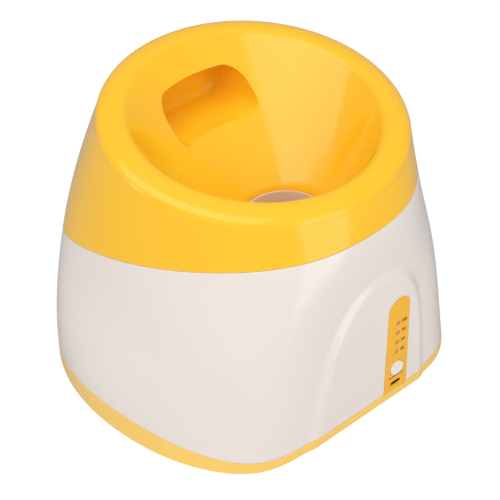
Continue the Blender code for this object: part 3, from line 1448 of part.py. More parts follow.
def battery():
    """Two-cell pack lying on the tray and the strap over it."""
    half = CELL_LENGTH / 2
    across = CELLS * CELL_RADIUS
    edge = CELL_RADIUS / 8
    outline = rounded_rectangle(across, CELL_RADIUS, CELL_RADIUS - GAP, 5)
    ends = rounded_rectangle(across - edge, CELL_RADIUS - edge, CELL_RADIUS - edge - GAP, 5)
    height = FLOOR_TOP + GAP + CELL_RADIUS
    rows = ((ends, -half), (outline, edge - half), (outline, half - edge), (ends, half))
    outlines = [[(x, z, y) for x, z in row] for row, y in rows]
    here = frame(Vector((PACK_X, PACK_Y, height)), SIDE, TOP, -REAR)
    smooth(add_piece("battery_pack", stack_solid(outlines), "cell_wrap", here))
    near = across + GAP
    far = near + STRAP_THICKNESS
    corner = CELL_RADIUS
    turns = [math.pi / 2 * step / 5 for step in range(6)]
    inner = [(near - corner + corner * math.cos(turn), corner * math.sin(turn)) for turn in turns]
    lift = GAP
    inner = [(x, z + lift) for x, z in inner]
    grown = corner + STRAP_THICKNESS
    outer = [(near - corner + grown * math.cos(turn), grown * math.sin(turn)) for turn in turns]
    outer = [(x, z + lift) for x, z in outer]
    floor = -CELL_RADIUS
    foot = floor + STRAP_THICKNESS
    half_outline = [(near, floor)] + inner
    half_outer = [(far + STRAP_FOOT, floor), (far + STRAP_FOOT, foot), (far, foot)] + outer
    outline = half_outer + [(-x, z) for x, z in reversed(half_outer)]
    outline += [(-x, z) for x, z in half_outline]
    outline += list(reversed(half_outline))
    strap = prism(outline, -STRAP_WIDTH / 2, STRAP_WIDTH / 2)
    smooth(add_piece("battery_strap", strap, "black_plastic", here))


def rubber_feet():
    """Four feet under the tray, sharing one mesh."""
    profile = [
        (0, 0),
        (FOOT_RADIUS - FOOT_CROWN, 0),
        (FOOT_RADIUS, FOOT_CROWN),
        (FOOT_RADIUS, FOOT_HEIGHT),
        (0, FOOT_HEIGHT),
    ]
    foot = mesh_from(turned(profile, SMALL_STEPS), "rubber_foot")
    for number, (across, along) in enumerate(FOOT_PLACES_SHARES, 1):
        here = Matrix.Translation((across * BASE_RADIUS, along * BASE_RADIUS, 0))
        smooth(add_piece(f"rubber_foot_{number}", foot, "rubber", here))


def screws():
    """Slotted screws of the deck, the shell and the cap, sharing one mesh."""
    head = SCREW_HEAD_HEIGHT
    profile = [
        (0, -SCREW_LENGTH),
        (SCREW_RADIUS, -SCREW_LENGTH + SCREW_RADIUS),
        (SCREW_RADIUS, 0),
        (SCREW_HEAD_RADIUS, 0),
        (SCREW_HEAD_RADIUS, head / 2),
        (SCREW_HEAD_RADIUS - head / 2, head),
        (0, head),
    ]
    sample = add_piece("screw_sample", turned(profile, SCREW_STEPS), "zinc_steel")
    half = SCREW_SLOT_WIDTH / 2
    long = SCREW_HEAD_RADIUS + OVERRUN
    cut(sample, block((-half, -long, head - SCREW_SLOT_DEPTH), (half, long, head + OVERRUN)))
    smooth(sample)
    mesh = sample.data
    bpy.data.objects.remove(sample, do_unlink=True)
    for number, place in enumerate(deck_posts(), 1):
        here = frame(place + LIFT * GAP, SIDE, -LAUNCH, LIFT)
        add_piece(f"deck_screw_{number}", mesh, "zinc_steel", here)
    bottom = GROUND_CLEARANCE + SCREW_RECESS - GAP
    for number, (_, place, _) in enumerate(
        boss_places(SHELL_BOSS_BEARINGS, SHELL_BOSS_INSET, base_seam_height), 1
    ):
        here = frame(Vector((place.x, place.y, bottom)), SIDE, -REAR, -TOP)
        add_piece(f"shell_screw_{number}", mesh, "zinc_steel", here)
    for number, (_, place, seam) in enumerate(
        boss_places(CAP_BOSS_BEARINGS, CAP_BOSS_INSET, seam_height), 1
    ):
        height = seam - LUG_DROP - LUG_THICKNESS - GAP
        here = frame(Vector((place.x, place.y, height)), SIDE, -REAR, -TOP)
        add_piece(f"cap_screw_{number}", mesh, "zinc_steel", here)


def centre_pieces():
    """Move the launcher so that the origin lies on the ground under its middle."""
    bpy.context.view_layer.update()
    pieces = [item for item in bpy.data.objects if item.type == "MESH"]
    places = [item.matrix_world @ point.co for item in pieces for point in item.data.vertices]
    middle_x = (min(p.x for p in places) + max(p.x for p in places)) / 2
    middle_y = (min(p.y for p in places) + max(p.y for p in places)) / 2
    for item in pieces:
        item.location -= Vector((middle_x, middle_y, 0))


def main():
    """Build every piece of the launcher."""
    clear_scene()
    hopper_cap()
    body_shell()
    base_tray()
    feed_chute()
    launch_barrel()
    mouth_ring()
    motor_deck()
    flywheel_drive(1, "right")
    flywheel_drive(-1, "left")
    feed_wheel()
    feed_drive()
    control_panel()
    panel_parts()
    main_board()
    battery()
    rubber_feet()
    screws()
    centre_pieces()


main()
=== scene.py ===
"""Looks of an automatic dog ball launcher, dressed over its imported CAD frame.

Metres, +Z up. The launch mouth faces -Y and the flat rear with the control strip faces +Y.
"""

from __future__ import annotations

import logging
import math
from dataclasses import dataclass
from enum import Enum
from typing import Callable, Sequence

import bmesh
import bpy
import numpy as np
from mathutils import Matrix, Quaternion, Vector


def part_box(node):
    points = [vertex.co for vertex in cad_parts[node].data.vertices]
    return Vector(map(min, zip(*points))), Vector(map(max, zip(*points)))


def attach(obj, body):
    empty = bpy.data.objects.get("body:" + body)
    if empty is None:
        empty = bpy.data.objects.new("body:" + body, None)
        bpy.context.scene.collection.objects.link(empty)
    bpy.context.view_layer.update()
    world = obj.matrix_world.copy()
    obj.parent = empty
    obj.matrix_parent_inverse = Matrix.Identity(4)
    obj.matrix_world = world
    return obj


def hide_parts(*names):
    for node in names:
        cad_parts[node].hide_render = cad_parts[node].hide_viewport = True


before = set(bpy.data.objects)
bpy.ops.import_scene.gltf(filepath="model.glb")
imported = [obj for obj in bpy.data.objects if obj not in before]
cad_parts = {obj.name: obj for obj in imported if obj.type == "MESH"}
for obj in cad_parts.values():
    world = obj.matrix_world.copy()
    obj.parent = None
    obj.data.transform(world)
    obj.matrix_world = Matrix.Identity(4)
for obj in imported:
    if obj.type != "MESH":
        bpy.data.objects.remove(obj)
log = logging.getLogger("launcher")
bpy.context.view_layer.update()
HOUSING = "housing"
FULL = 2.0 * math.pi
QUARTER = math.pi / 2
GAP = 0.0003
# A rear foot of the CAD stands behind the middle of the skin by this share of the CAD's base radius.
FOOT_SHARE = 0.48
CAD_BASE_RADIUS = 0.1435

Colour = tuple[float, float, float]
Outline = list[tuple[float, float]]
Array = np.ndarray
Piece = bpy.types.Object


class Surface(Enum):
    """How a finish answers light beyond its colour, as inputs of its shader."""

    GLOSS = {"Coat Weight": 0.35, "Coat Roughness": 0.07, "Coat IOR": 1.45}
    SATIN = {"Specular IOR Level": 0.35}
    METAL = {"Metallic": 1.0}
    RUBBER = {"Sheen Weight": 0.15, "Specular IOR Level": 0.3}
    CLEAR = {"Transmission Weight": 0.25}
    PRINT = {"Specular IOR Level": 0.25}


class LightTask(Enum):
    """What a softbox does for the picture."""

    BOTH = "both"
    LIGHTING = "lighting"
    SHINE = "shine"


class Wiring:
    """Fills and links the nodes of a tree."""

    @staticmethod
    def fill(node: bpy.types.Node, values: dict[str | int, object]) -> bpy.types.Node:
        """Set inputs of a node by name or number.

        Args:
            node: Node that is changed.
            values: Value of each input.

        Returns:
            The same node.
        """
        for name, value in values.items():
            node.inputs[name].default_value = value
        return node

    @staticmethod
    def link(tree: bpy.types.NodeTree, *rows: tuple) -> None:
        """Link sockets; a row is a node, its output, a node and its input."""
        for source, output, target, given in rows:
            tree.links.new(source.outputs[output], target.inputs[given])


@dataclass(frozen=True)
class Finish:
    """One procedural finish with moulding texture and slight colour drift.

    Colours are linear. Grain sizes are in waves per metre and depths in metres.
    """

    name: str
    colour: Colour
    roughness: float
    surface: Surface = Surface.GLOSS
    grain_depth: float = 0.00001
    drift: float = 0.03
    drift_scale: float = 14.0
    drift_detail: float = 3.0
    grain_scale: float = 700.0
    grain_detail: float = 2.0
    brushing: float = 0.05
    least_roughness: float = 0.02
    refraction: float = 1.5

    def material(self) -> bpy.types.Material:
        """Build the node tree once.

        Returns:
            The material of this finish.
        """
        held = bpy.data.materials.get(self.name)
        if held is not None:
            return held
        material = bpy.data.materials.new(self.name)
        material.use_nodes = True
        material.diffuse_color = (*self.colour, 1.0)
        tree = material.node_tree
        shader = Wiring.fill(tree.nodes["Principled BSDF"], {"IOR": self.refraction, **self.surface.value})
        place = tree.nodes.new("ShaderNodeTexCoord")
        self._paint(tree, shader, place)
        self._grain(tree, shader, place)
        return material

    def _paint(self, tree: bpy.types.NodeTree, shader: bpy.types.Node, place: bpy.types.Node) -> None:
        """Slow colour and roughness drift over the piece.

        Args:
            tree: Node tree of the material.
            shader: Principled shader that is fed.
            place: Texture coordinate node.
        """
        new = tree.nodes.new
        low = [channel * (1.0 - self.drift) for channel in self.colour]
        high = [min(channel * (1.0 + self.drift), 1.0) for channel in self.colour]
        rough = (max(self.roughness - self.drift, self.least_roughness), self.roughness + self.drift)
        noise = {"Scale": self.drift_scale, "Detail": self.drift_detail}
        cloud = Wiring.fill(new("ShaderNodeTexNoise"), noise)
        blend = new("ShaderNodeMix")
        blend.data_type = "RGBA"
        Wiring.fill(blend, {6: (*low, 1.0), 7: (*high, 1.0)})
        span = Wiring.fill(new("ShaderNodeMapRange"), {"To Min": rough[0], "To Max": rough[1]})
        Wiring.link(
            tree,
            (place, "Object", cloud, "Vector"),
            (cloud, "Fac", blend, 0),
            (blend, 2, shader, "Base Color"),
            (cloud, "Fac", span, "Value"),
            (span, "Result", shader, "Roughness"),
        )

    def _grain(self, tree: bpy.types.NodeTree, shader: bpy.types.Node, place: bpy.types.Node) -> None:
        """Fine relief: moulding texture, brushing or rubber bloom.

        Args:
            tree: Node tree of the material.
            shader: Principled shader that is fed.
            place: Texture coordinate node.
        """
        new = tree.nodes.new
        along = self.brushing if self.surface is Surface.METAL else 1.0
        stretch = Wiring.fill(new("ShaderNodeMapping"), {"Scale": (1.0, 1.0, along)})
        noise = {"Scale": self.grain_scale, "Detail": self.grain_detail}
        grain = Wiring.fill(new("ShaderNodeTexNoise"), noise)
        bump = Wiring.fill(new("ShaderNodeBump"), {"Strength": 1.0, "Distance": self.grain_depth})
        Wiring.link(
            tree,
            (place, "Object", stretch, "Vector"),
            (stretch, "Vector", grain, "Vector"),
            (grain, "Fac", bump, "Height"),
            (bump, "Normal", shader, "Normal"),
        )


CAP_YELLOW = Finish("cap_yellow_gloss", (1.0, 0.545, 0.015), 0.16)
# The base's own paler yellow, made paler and whiter still as painted bounce light from the floor.
BASE_YELLOW_AND_BOUNCE = Finish("base_yellow_painted_bounce_gloss", (1.0, 0.62, 0.13), 0.20)
BODY_WHITE = Finish("body_white_gloss", (0.82, 0.745, 0.695), 0.17)
PANEL_YELLOW = Finish("panel_yellow_satin", (0.93, 0.47, 0.020), 0.34, Surface.SATIN)
BUTTON_WHITE = Finish("button_white_gloss", (0.86, 0.81, 0.76), 0.25)
# The chute's and barrel's own off-white, brightened and warmed towards orange as painted bounce light from
# the yellow funnel.
INNER_PALE_AND_BOUNCE = Finish("inner_pale_painted_bounce_satin", (0.92, 0.76, 0.66), 0.38, Surface.SATIN)
LENS_CLEAR = Finish("lens_clear", (0.68, 0.36, 0.20), 0.16, Surface.CLEAR)
PRINT_BROWN = Finish("print_brown", (0.09, 0.032, 0.008), 0.5, Surface.PRINT)
SOCKET_STEEL = Finish("socket_dark_steel", (0.07, 0.066, 0.062), 0.36, Surface.METAL)
BLACK_PLASTIC = Finish("black_plastic_satin", (0.018, 0.017, 0.016), 0.45, Surface.SATIN)
GREY_PLASTIC = Finish("grey_plastic_satin", (0.13, 0.14, 0.15), 0.45, Surface.SATIN)
NYLON = Finish("nylon_satin", (0.76, 0.75, 0.71), 0.42, Surface.SATIN)
RUBBER = Finish("rubber_matt", (0.028, 0.028, 0.028), 0.78, Surface.RUBBER, 0.00004)
ZINC = Finish("zinc_steel", (0.60, 0.60, 0.61), 0.34, Surface.METAL)
MOTOR_STEEL = Finish("motor_steel", (0.46, 0.47, 0.49), 0.30, Surface.METAL)
BOARD_GREEN = Finish("board_green", (0.018, 0.15, 0.06), 0.38, Surface.SATIN)
CELL_FILM = Finish("cell_film_blue", (0.028, 0.09, 0.28), 0.30)


def rigid(origin: Vector, across: Vector, along: Vector, out: Vector) -> Matrix:
    """Rigid matrix with the given origin and axes.

    Args:
        origin: Place of the frame.
        across: Its X axis.
        along: Its Y axis.
        out: Its Z axis.

    Returns:
        The matrix.
    """
    matrix = Matrix((across, along, out)).transposed().to_4x4()
    matrix.translation = origin
    return matrix


def circle(steps: int) -> Array:
    """Turns of evenly spaced points round a full circle."""
    return np.linspace(0.0, FULL, steps, endpoint=False)


def arc(x: float, y: float, radius: float, quarters: tuple[float, float], steps: int) -> Outline:
    """Points of an arc about a centre, from one number of quarter turns to another."""
    turns = np.linspace(quarters[0] * QUARTER, quarters[1] * QUARTER, steps)
    return [(x + radius * math.cos(a), y + radius * math.sin(a)) for a in turns]


def rectangle(half_width: float, half_depth: float) -> Outline:
    """Outline of a rectangle about the origin."""
    signs = ((-1, -1), (1, -1), (1, 1), (-1, 1))
    return [(side * half_width, end * half_depth) for side, end in signs]


def rounded_rectangle(half_width: float, half_depth: float, corner: float, steps: int = 8) -> Outline:
    """Outline of a rectangle with round corners.

    Args:
        half_width: Half of its width.
        half_depth: Half of its depth.
        corner: Corner radius.
        steps: Facets in each corner.

    Returns:
        Points of the outline.
    """
    outline: Outline = []
    for quarter, (side, end) in enumerate(((1, 1), (-1, 1), (-1, -1), (1, -1))):
        x, y = side * (half_width - corner), end * (half_depth - corner)
        outline += arc(x, y, corner, (quarter, quarter + 1), steps + 1)
    return outline


def bearings(rear_step: float = 0.5, rest_step: float = 1.3, span: float = 62.0) -> Array:
    """Bearings of mesh columns, closer together on the rear.

    Args:
        rear_step: Step on the rear, in degrees.
        rest_step: Step elsewhere, in degrees.
        span: Half of the rear's span, in degrees.

    Returns:
        The bearings in radians.
    """
    rear = np.linspace(-span, span, round(2 * span / rear_step), endpoint=False)
    rest = np.linspace(span, 360.0 - span, round((360.0 - 2 * span) / rest_step), endpoint=False)
    return np.radians(np.concatenate([rear, rest]))


class Workbench:
    """Turns arrays of points into finished, dressed pieces."""

    MERGE = 1e-7
    CORE_MERGE = 1e-6
    LOWEST_SKIN = 0.001

    @staticmethod
    def linked(name: str, data: bpy.types.ID) -> Piece:
        """New object in the scene.

        Args:
            name: Name of the object.
            data: Its mesh, text, light or camera.

        Returns:
            The object.
        """
        piece = bpy.data.objects.new(name, data)
        bpy.context.scene.collection.objects.link(piece)
        return piece

    @staticmethod
    def close(mesh: bpy.types.Mesh) -> None:
        """Merge doubled points and turn all faces outwards.

        Args:
            mesh: Mesh that is changed.
        """
        bm = bmesh.new()
        bm.from_mesh(mesh)
        bmesh.ops.remove_doubles(bm, verts=bm.verts, dist=Workbench.MERGE)
        bmesh.ops.recalc_face_normals(bm, faces=bm.faces)
        bm.to_mesh(mesh)
        bm.free()

    @staticmethod
    def from_faces(name: str, points: Array, faces: Sequence[Sequence[int]]) -> Piece:
        """Make an object of points and faces with outward normals.

        Args:
            name: Name of the piece.
            points: Array of places, one row each.
            faces: Corner numbers of each face.

        Returns:
            The new object, linked to the scene.
        """
        mesh = bpy.data.meshes.new(name)
        mesh.from_pydata(np.asarray(points).reshape(-1, 3).tolist(), [], faces)
        Workbench.close(mesh)
        return Workbench.linked(name, mesh)

    @staticmethod
    def quads(count: int, wide: int, closed: bool) -> list[Sequence[int]]:
        """Faces between rows of points that are closed across.

        Args:
            count: Number of rows.
            wide: Points in each row.
            closed: Whether the last row meets the first.

        Returns:
            Corner numbers of each face.
        """
        faces: list[Sequence[int]] = []
        for row in range(count if closed else count - 1):
            low, high = row * wide, (row + 1) % count * wide
            for column in range(wide):
                beside = (column + 1) % wide
                faces.append((low + column, low + beside, high + beside, high + column))
        return faces

    @staticmethod
    def ring(name: str, rows: Array) -> Piece:
        """Ring through an array of rows of points, closed both ways."""
        return Workbench.from_faces(name, rows, Workbench.quads(*rows.shape[:2], True))

    @staticmethod
    def stack(name: str, rows: Array) -> Piece:
        """Solid through rows of points with flat ends.

        Args:
            name: Name of the piece.
            rows: Array of shape (rows, columns, 3).

        Returns:
            The closed object.
        """
        count, wide = rows.shape[:2]
        faces = Workbench.quads(count, wide, False)
        faces += [list(range(wide))[::-1], list(range((count - 1) * wide, count * wide))]
        return Workbench.from_faces(name, rows, faces)

    @staticmethod
    def turned(name: str, profile: Outline, steps: int = 96) -> Piece:
        """Turned form about Z; a profile off the axis closes on itself.

        Args:
            name: Name of the piece.
            profile: Radius and height of each point.
            steps: Number of facets round the axis.

        Returns:
            The closed object.
        """
        rows = np.array([[(r * math.cos(a), r * math.sin(a), z) for a in circle(steps)] for r, z in profile])
        solid = profile[0][0] == 0.0 and profile[-1][0] == 0.0
        return Workbench.from_faces(name, rows, Workbench.quads(len(profile), steps, not solid))

    @staticmethod
    def rod(name: str, radius: float, low: float, high: float, steps: int = 96) -> Piece:
        """Round rod about Z, mostly a drill."""
        return Workbench.turned(name, [(0.0, low), (radius, low), (radius, high), (0.0, high)], steps)

    @staticmethod
    def prism(name: str, outline: Outline, low: float, high: float) -> Piece:
        """Flat outline raised along Z."""
        return Workbench.stack(name, np.array([[(x, y, z) for x, y in outline] for z in (low, high)]))

    @staticmethod
    def bake(piece: Piece) -> Piece:
        """Apply modifiers and place, so that the piece sits at the origin.

        Args:
            piece: Object with live modifiers or a place of its own.

        Returns:
            The same object with a plain mesh.
        """
        bpy.context.view_layer.update()
        graph = bpy.context.evaluated_depsgraph_get()
        mesh = bpy.data.meshes.new_from_object(piece.evaluated_get(graph))
        mesh.transform(piece.matrix_world)
        piece.modifiers.clear()
        old = piece.data
        piece.data = mesh
        piece.matrix_world = Matrix.Identity(4)
        bpy.data.meshes.remove(old)
        return piece

    @staticmethod
    def put(piece: Piece, place: Matrix) -> Piece:
        """Move a piece from the origin to its place, in its mesh."""
        piece.matrix_world = place
        return Workbench.bake(piece)

    @staticmethod
    def combine(piece: Piece, tool: Piece, operation: str = "DIFFERENCE", solver: str = "MANIFOLD") -> None:
        """Cut or join a tool and remove it.

        Args:
            piece: Object that is changed.
            tool: Object that cuts or joins.
            operation: DIFFERENCE, UNION or INTERSECT.
            solver: Boolean solver, MANIFOLD or EXACT.
        """
        modifier = piece.modifiers.new("tool", "BOOLEAN")
        modifier.operation = operation
        modifier.solver = solver
        modifier.object = tool
        Workbench.bake(piece)
        bpy.data.objects.remove(tool, do_unlink=True)

    @staticmethod
    def merged(pieces: Sequence[Piece]) -> Piece:
        """Join pieces to the first of them.

        Args:
            pieces: Closed objects; all but the first are removed.

        Returns:
            The first object with all the others.
        """
        for other in pieces[1:]:
            Workbench.combine(pieces[0], other, "UNION")
        return pieces[0]

    @staticmethod
    def soften(piece: Piece, width: float, segments: int = 2, angle: float = 35.0) -> None:
        """Round the sharp edges of a piece.

        Args:
            piece: Object that is changed.
            width: Width of the rounding.
            segments: Facets across it.
            angle: Edges sharper than this are rounded, in degrees.
        """
        bevel = piece.modifiers.new("soften", "BEVEL")
        bevel.width = width
        bevel.segments = segments
        bevel.limit_method = "ANGLE"
        bevel.angle_limit = math.radians(angle)
        bevel.harden_normals = False
        Workbench.bake(piece)

    @staticmethod
    def finish(
        piece: Piece,
        finish: Finish,
        slot: str,
        nodes: Sequence[str] = (),
        body: str = HOUSING,
        angle: float = 32.0,
    ) -> Piece:
        """Shade, paint and hang a finished piece on its body.

        Args:
            piece: Finished object.
            finish: Its finish.
            slot: Material slot of the record. Not used.
            nodes: CAD nodes that it stands for.
            body: CAD body that carries it.
            angle: Edges sharper than this stay sharp, in degrees.

        Returns:
            The same object.
        """
        piece.data.shade_smooth()
        piece.data.set_sharp_from_angle(angle=math.radians(angle))
        piece.data.materials.clear()
        piece.data.materials.append(finish.material())
        if nodes:
            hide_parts(*nodes)
        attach(piece, body)
        return piece

    @staticmethod
    def core(node: str, form: BodyForm, depth: float, low: float, high: float) -> Piece:
        """Copy of what a CAD node has inside the wall: posts, bosses, lugs and ribs.

        Args:
            node: Name of the CAD node.
            form: Outer skin of the launcher.
            depth: How far inside the skin the copy begins.
            low: Lowest height that is kept.
            high: Greatest height that is kept.

        Returns:
            The closed object.
        """
        bm = bmesh.new()
        bm.from_mesh(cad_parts[node].data)
        bmesh.ops.remove_doubles(bm, verts=bm.verts, dist=Workbench.CORE_MERGE)
        mesh = bpy.data.meshes.new(f"{node}_core")
        bm.to_mesh(mesh)
        bm.free()
        piece = Workbench.linked(f"{node}_core", mesh)
        angle = np.radians(np.arange(0.0, 360.0, 2.0))
        rows = []
        for height in np.linspace(low, high, 24):
            ring = form.wall(angle, np.full(angle.shape, max(height, Workbench.LOWEST_SKIN)), depth)
            ring[:, 2] = height
            rows.append(ring)
        Workbench.combine(piece, Workbench.stack("keep", np.array(rows)), "INTERSECT")
        return piece


class CopyTree:
    """Geometry Nodes tree that sets a copy of a piece at each place."""

    def __init__(self, name: str) -> None:
        """Build the tree.

        Args:
            name: Name of the node group.
        """
        self.tree = bpy.data.node_groups.new(name, "GeometryNodeTree")
        face, new = self.tree.interface, self.tree.nodes.new
        self.sockets: dict[str, str] = {}
        kinds = {"Places": "Geometry", "Piece": "Object", "Size": "Float", "Finish": "Material"}
        for label, kind in kinds.items():
            socket = face.new_socket(label, in_out="INPUT", socket_type=f"NodeSocket{kind}")
            self.sockets[label] = socket.identifier
        face.new_socket("Pieces", in_out="OUTPUT", socket_type="NodeSocketGeometry")
        given, source = new("NodeGroupInput"), new("GeometryNodeObjectInfo")
        copies, turn = new("GeometryNodeInstanceOnPoints"), new("GeometryNodeInputNamedAttribute")
        turn.data_type = "FLOAT_VECTOR"
        turn.inputs["Name"].default_value = "turn"
        euler, real = new("FunctionNodeEulerToRotation"), new("GeometryNodeRealizeInstances")
        paint, result = new("GeometryNodeSetMaterial"), new("NodeGroupOutput")
        Wiring.link(
            self.tree,
            (given, "Places", copies, "Points"),
            (given, "Piece", source, "Object"),
            (source, "Geometry", copies, "Instance"),
            (turn, "Attribute", euler, "Euler"),
            (euler, "Rotation", copies, "Rotation"),
            (given, "Size", copies, "Scale"),
            (copies, "Instances", real, "Geometry"),
            (real, "Geometry", paint, "Geometry"),
            (given, "Finish", paint, "Material"),
            (paint, "Geometry", result, "Pieces"),
        )

    def copies(self, name: str, sample: Piece, places: Sequence[Matrix], finish: Finish) -> Piece:
        """Set the sample at each place and keep the result as one plain mesh.

        Args:
            name: Name of the new piece.
            sample: Piece at the origin; it is removed afterwards.
            places: Rigid matrices of the copies.
            finish: Finish of the copies.

        Returns:
            The new object.
        """
        mesh = bpy.data.meshes.new(name)
        mesh.from_pydata([tuple(place.translation) for place in places], [], [])
        turns = mesh.attributes.new("turn", "FLOAT_VECTOR", "POINT")
        for number, place in enumerate(places):
            turns.data[number].vector = place.to_euler("XYZ")
        piece = Workbench.linked(name, mesh)
        modifier = piece.modifiers.new("copies", "NODES")
        modifier.node_group = self.tree
        for label, value in (("Piece", sample), ("Size", 1.0), ("Finish", finish.material())):
            modifier[self.sockets[label]] = value
        Workbench.bake(piece)
        bpy.data.objects.remove(sample, do_unlink=True)
        return piece


@dataclass(frozen=True)
class BodyForm:
    """Outer skin of the launcher: a round, tapering wall with a flat rear and an arch.

    Bearings run from +Y towards +X, and a share is the share of the way up.
    """

    height: float = 0.2003
    rim_slope: float = -0.094
    base_radius: float = 0.14346
    rim_radius: float = 0.1071
    rear_reach: float = 0.1195
    rear_lean: float = 0.111
    rear_recover: float = 0.110
    rear_facing: float = 0.05
    corner_sharpness: float = 20.0
    spread: tuple[float, ...] = (1.0, 0.923, 0.679, 0.404, 0.0)
    shift: tuple[float, ...] = (0.0, 0.002, -0.028, -0.031, -0.010)
    oval: tuple[float, ...] = (-0.032, -0.017, 0.008, 0.025, 0.0)
    egg: tuple[float, ...] = (0.026, 0.043, 0.024, 0.014, 0.0)
    square: tuple[float, ...] = (-0.025, -0.008, -0.019, 0.001, 0.0)
    arch_axis: float = -0.0144
    arch_widths: tuple[float, float] = (0.0680, 0.0520)
    arch_narrowing: tuple[float, float] = (0.40, 0.15)
    arch_top: float = 0.1290
    arch_plane: float = 0.1198
    arch_lean: float = 0.035
    arch_shoulder: float = 0.0085
    arch_squareness: float = 5.0
    arch_roundness: float = 0.45
    seam_middle: float = 0.1418
    seam_slope: float = 0.334
    seam_bow: float = -0.1228
    seam_level_start: float = 0.0850
    seam_level: float = 0.48
    base_rear: float = 0.0088
    base_front: float = 0.0117
    base_wave: float = 0.0120
    base_wave_power: int = 6
    normal_step: float = 0.75
    passes: int = 6
    offset_y: float = 0.0

    @staticmethod
    def curve(values: Sequence[float], share: Array) -> Array:
        """Natural cubic through values at even shares.

        Args:
            values: Values from share 0 to share 1.
            share: Where the curve is read.

        Returns:
            The curve's values.
        """
        count = len(values)
        step = 1.0 / (count - 1)
        known = np.array(values)
        system = np.eye(count)
        target = np.zeros(count)
        for row in range(1, count - 1):
            system[row, row - 1 : row + 2] = (1.0, 4.0, 1.0)
            target[row] = 6.0 * (known[row - 1] - 2.0 * known[row] + known[row + 1]) / step**2
        bends = np.linalg.solve(system, target)
        cell = np.clip((share / step).astype(int), 0, count - 2)
        after = share / step - cell
        before = 1.0 - after
        bent = (before**3 - before) * bends[cell] + (after**3 - after) * bends[cell + 1]
        return before * known[cell] + after * known[cell + 1] + bent * step**2 / 6.0

    def plan(self, angle: Array, share: Array) -> tuple[Array, Array]:
        """Plan place of the skin, without the arch.

        Args:
            angle: Bearings.
            share: Shares.

        Returns:
            X and Y of each point.
        """
        radius = self.rim_radius + (self.base_radius - self.rim_radius) * self.curve(self.spread, share)
        waves = np.zeros(radius.shape)
        for count, sizes in ((2, self.oval), (3, self.egg), (4, self.square)):
            waves = waves + self.curve(sizes, share) * np.cos(count * angle)
        radius = radius + self.base_radius * waves
        shift = self.base_radius * self.curve(self.shift, share)
        facing = np.maximum(np.cos(angle), self.rear_facing)
        lean = self.rear_lean - self.rear_recover * share
        flat = (self.rear_reach - self.height * share * lean - shift) / facing
        bound = radius * (1.0 + (radius / flat) ** self.corner_sharpness) ** (-1.0 / self.corner_sharpness)
        radius = np.where(np.cos(angle) > self.rear_facing, bound, radius)
        return radius * np.sin(angle), shift + radius * np.cos(angle)

    def arch_half(self, height: Array, side: int) -> Array:
        """Width of the arch from its axis to one side.

        Args:
            height: Heights above the ground.
            side: 0 for the +X side, 1 for the other.

        Returns:
            The widths.
        """
        share = np.clip(height / self.arch_top, 0.0, 1.0)
        taper = 1.0 - self.arch_narrowing[side] * share
        return self.arch_widths[side] * taper * (1.0 - share**self.arch_squareness) ** self.arch_roundness

    def arch_depth(self, x: Array, height: Array) -> Array:
        """How far the arch is raised: 0 outside, 1 on its plateau.

        Args:
            x: Places across.
            height: Heights above the ground.

        Returns:
            How far it is raised at each place.
        """
        result = np.zeros(x.shape)
        steps = np.sin(np.linspace(0.0, QUARTER, 61)) * self.arch_top
        for side in (0, 1):
            mine = (x > self.arch_axis) == (side == 0)
            offset = np.abs(x - self.arch_axis)
            mine &= (height < self.arch_top) & (offset < self.arch_half(height, side))
            if not mine.any():
                continue
            line = np.stack([self.arch_half(steps, side), steps], axis=1)
            line = np.vstack([[(line[0, 0], -self.arch_top)], line])
            spot = np.stack([offset[mine], height[mine]], axis=1)
            best = np.full(len(spot), np.inf)
            for start, end in zip(line[:-1], line[1:]):
                run = end - start
                along = np.clip(((spot - start) @ run) / (run @ run), 0.0, 1.0)
                best = np.minimum(best, np.linalg.norm(spot - start - along[:, None] * run, axis=1))
            share = np.minimum(best / self.arch_shoulder, 1.0)
            result[mine] = share * share * (3.0 - 2.0 * share)
        return result

    def skin(self, angle: Array, share: Array) -> Array:
        """Points of the outer skin.

        Args:
            angle: Bearings.
            share: Shares.

        Returns:
            Array of places.
        """
        angle, share = np.broadcast_arrays(angle, share)
        x, y = self.plan(angle, share)
        z = share * (self.height + self.rim_slope * y)
        rear = np.cos(angle) > self.rear_facing
        lift = np.zeros(x.shape)
        lift[rear] = self.arch_depth(x[rear], z[rear])
        y = y + lift * (self.arch_plane - self.arch_lean * z - y)
        return np.stack([x, y + self.offset_y, z], axis=-1)

    def share_at(self, angle: Array, height: Array) -> Array:
        """Share of the way up at a height.

        Args:
            angle: Bearings.
            height: Heights above the ground.

        Returns:
            The shares.
        """
        share = height / self.height
        for _ in range(self.passes):
            share = height / (self.height + self.rim_slope * self.plan(angle, share)[1])
        return share

    def inset(self, angle: Array, share: Array, depth: Array | float) -> Array:
        """Points of the skin moved in, level with where they were.

        Args:
            angle: Bearings.
            share: Shares.
            depth: How far they are moved in.

        Returns:
            Array of places.
        """
        angle, share = np.broadcast_arrays(angle, share)
        step = math.radians(self.normal_step)
        point = self.skin(angle, share)
        ahead = self.skin(angle + step, share)
        behind = self.skin(angle - step, share)
        inward = np.stack([ahead[..., 1] - behind[..., 1], behind[..., 0] - ahead[..., 0]], axis=-1)
        inward /= np.linalg.norm(inward, axis=-1, keepdims=True)
        point[..., :2] += inward * np.asarray(depth)[..., None]
        return point

    def wall(self, angle: Array, height: Array, depth: Array | float = 0.0) -> Array:
        """Points of the skin at given heights, moved in by a depth."""
        return self.inset(angle, self.share_at(angle, height), depth)

    def lower_edge(self, angle: Array, low: Array, edge: float, facets: int) -> list[Array]:
        """Rows of the rounded lower edge of a wall."""
        turns = np.linspace(0.0, QUARTER, facets)
        return [self.wall(angle, low + edge * (1.0 - math.cos(t)), edge * (1.0 - math.sin(t))) for t in turns]

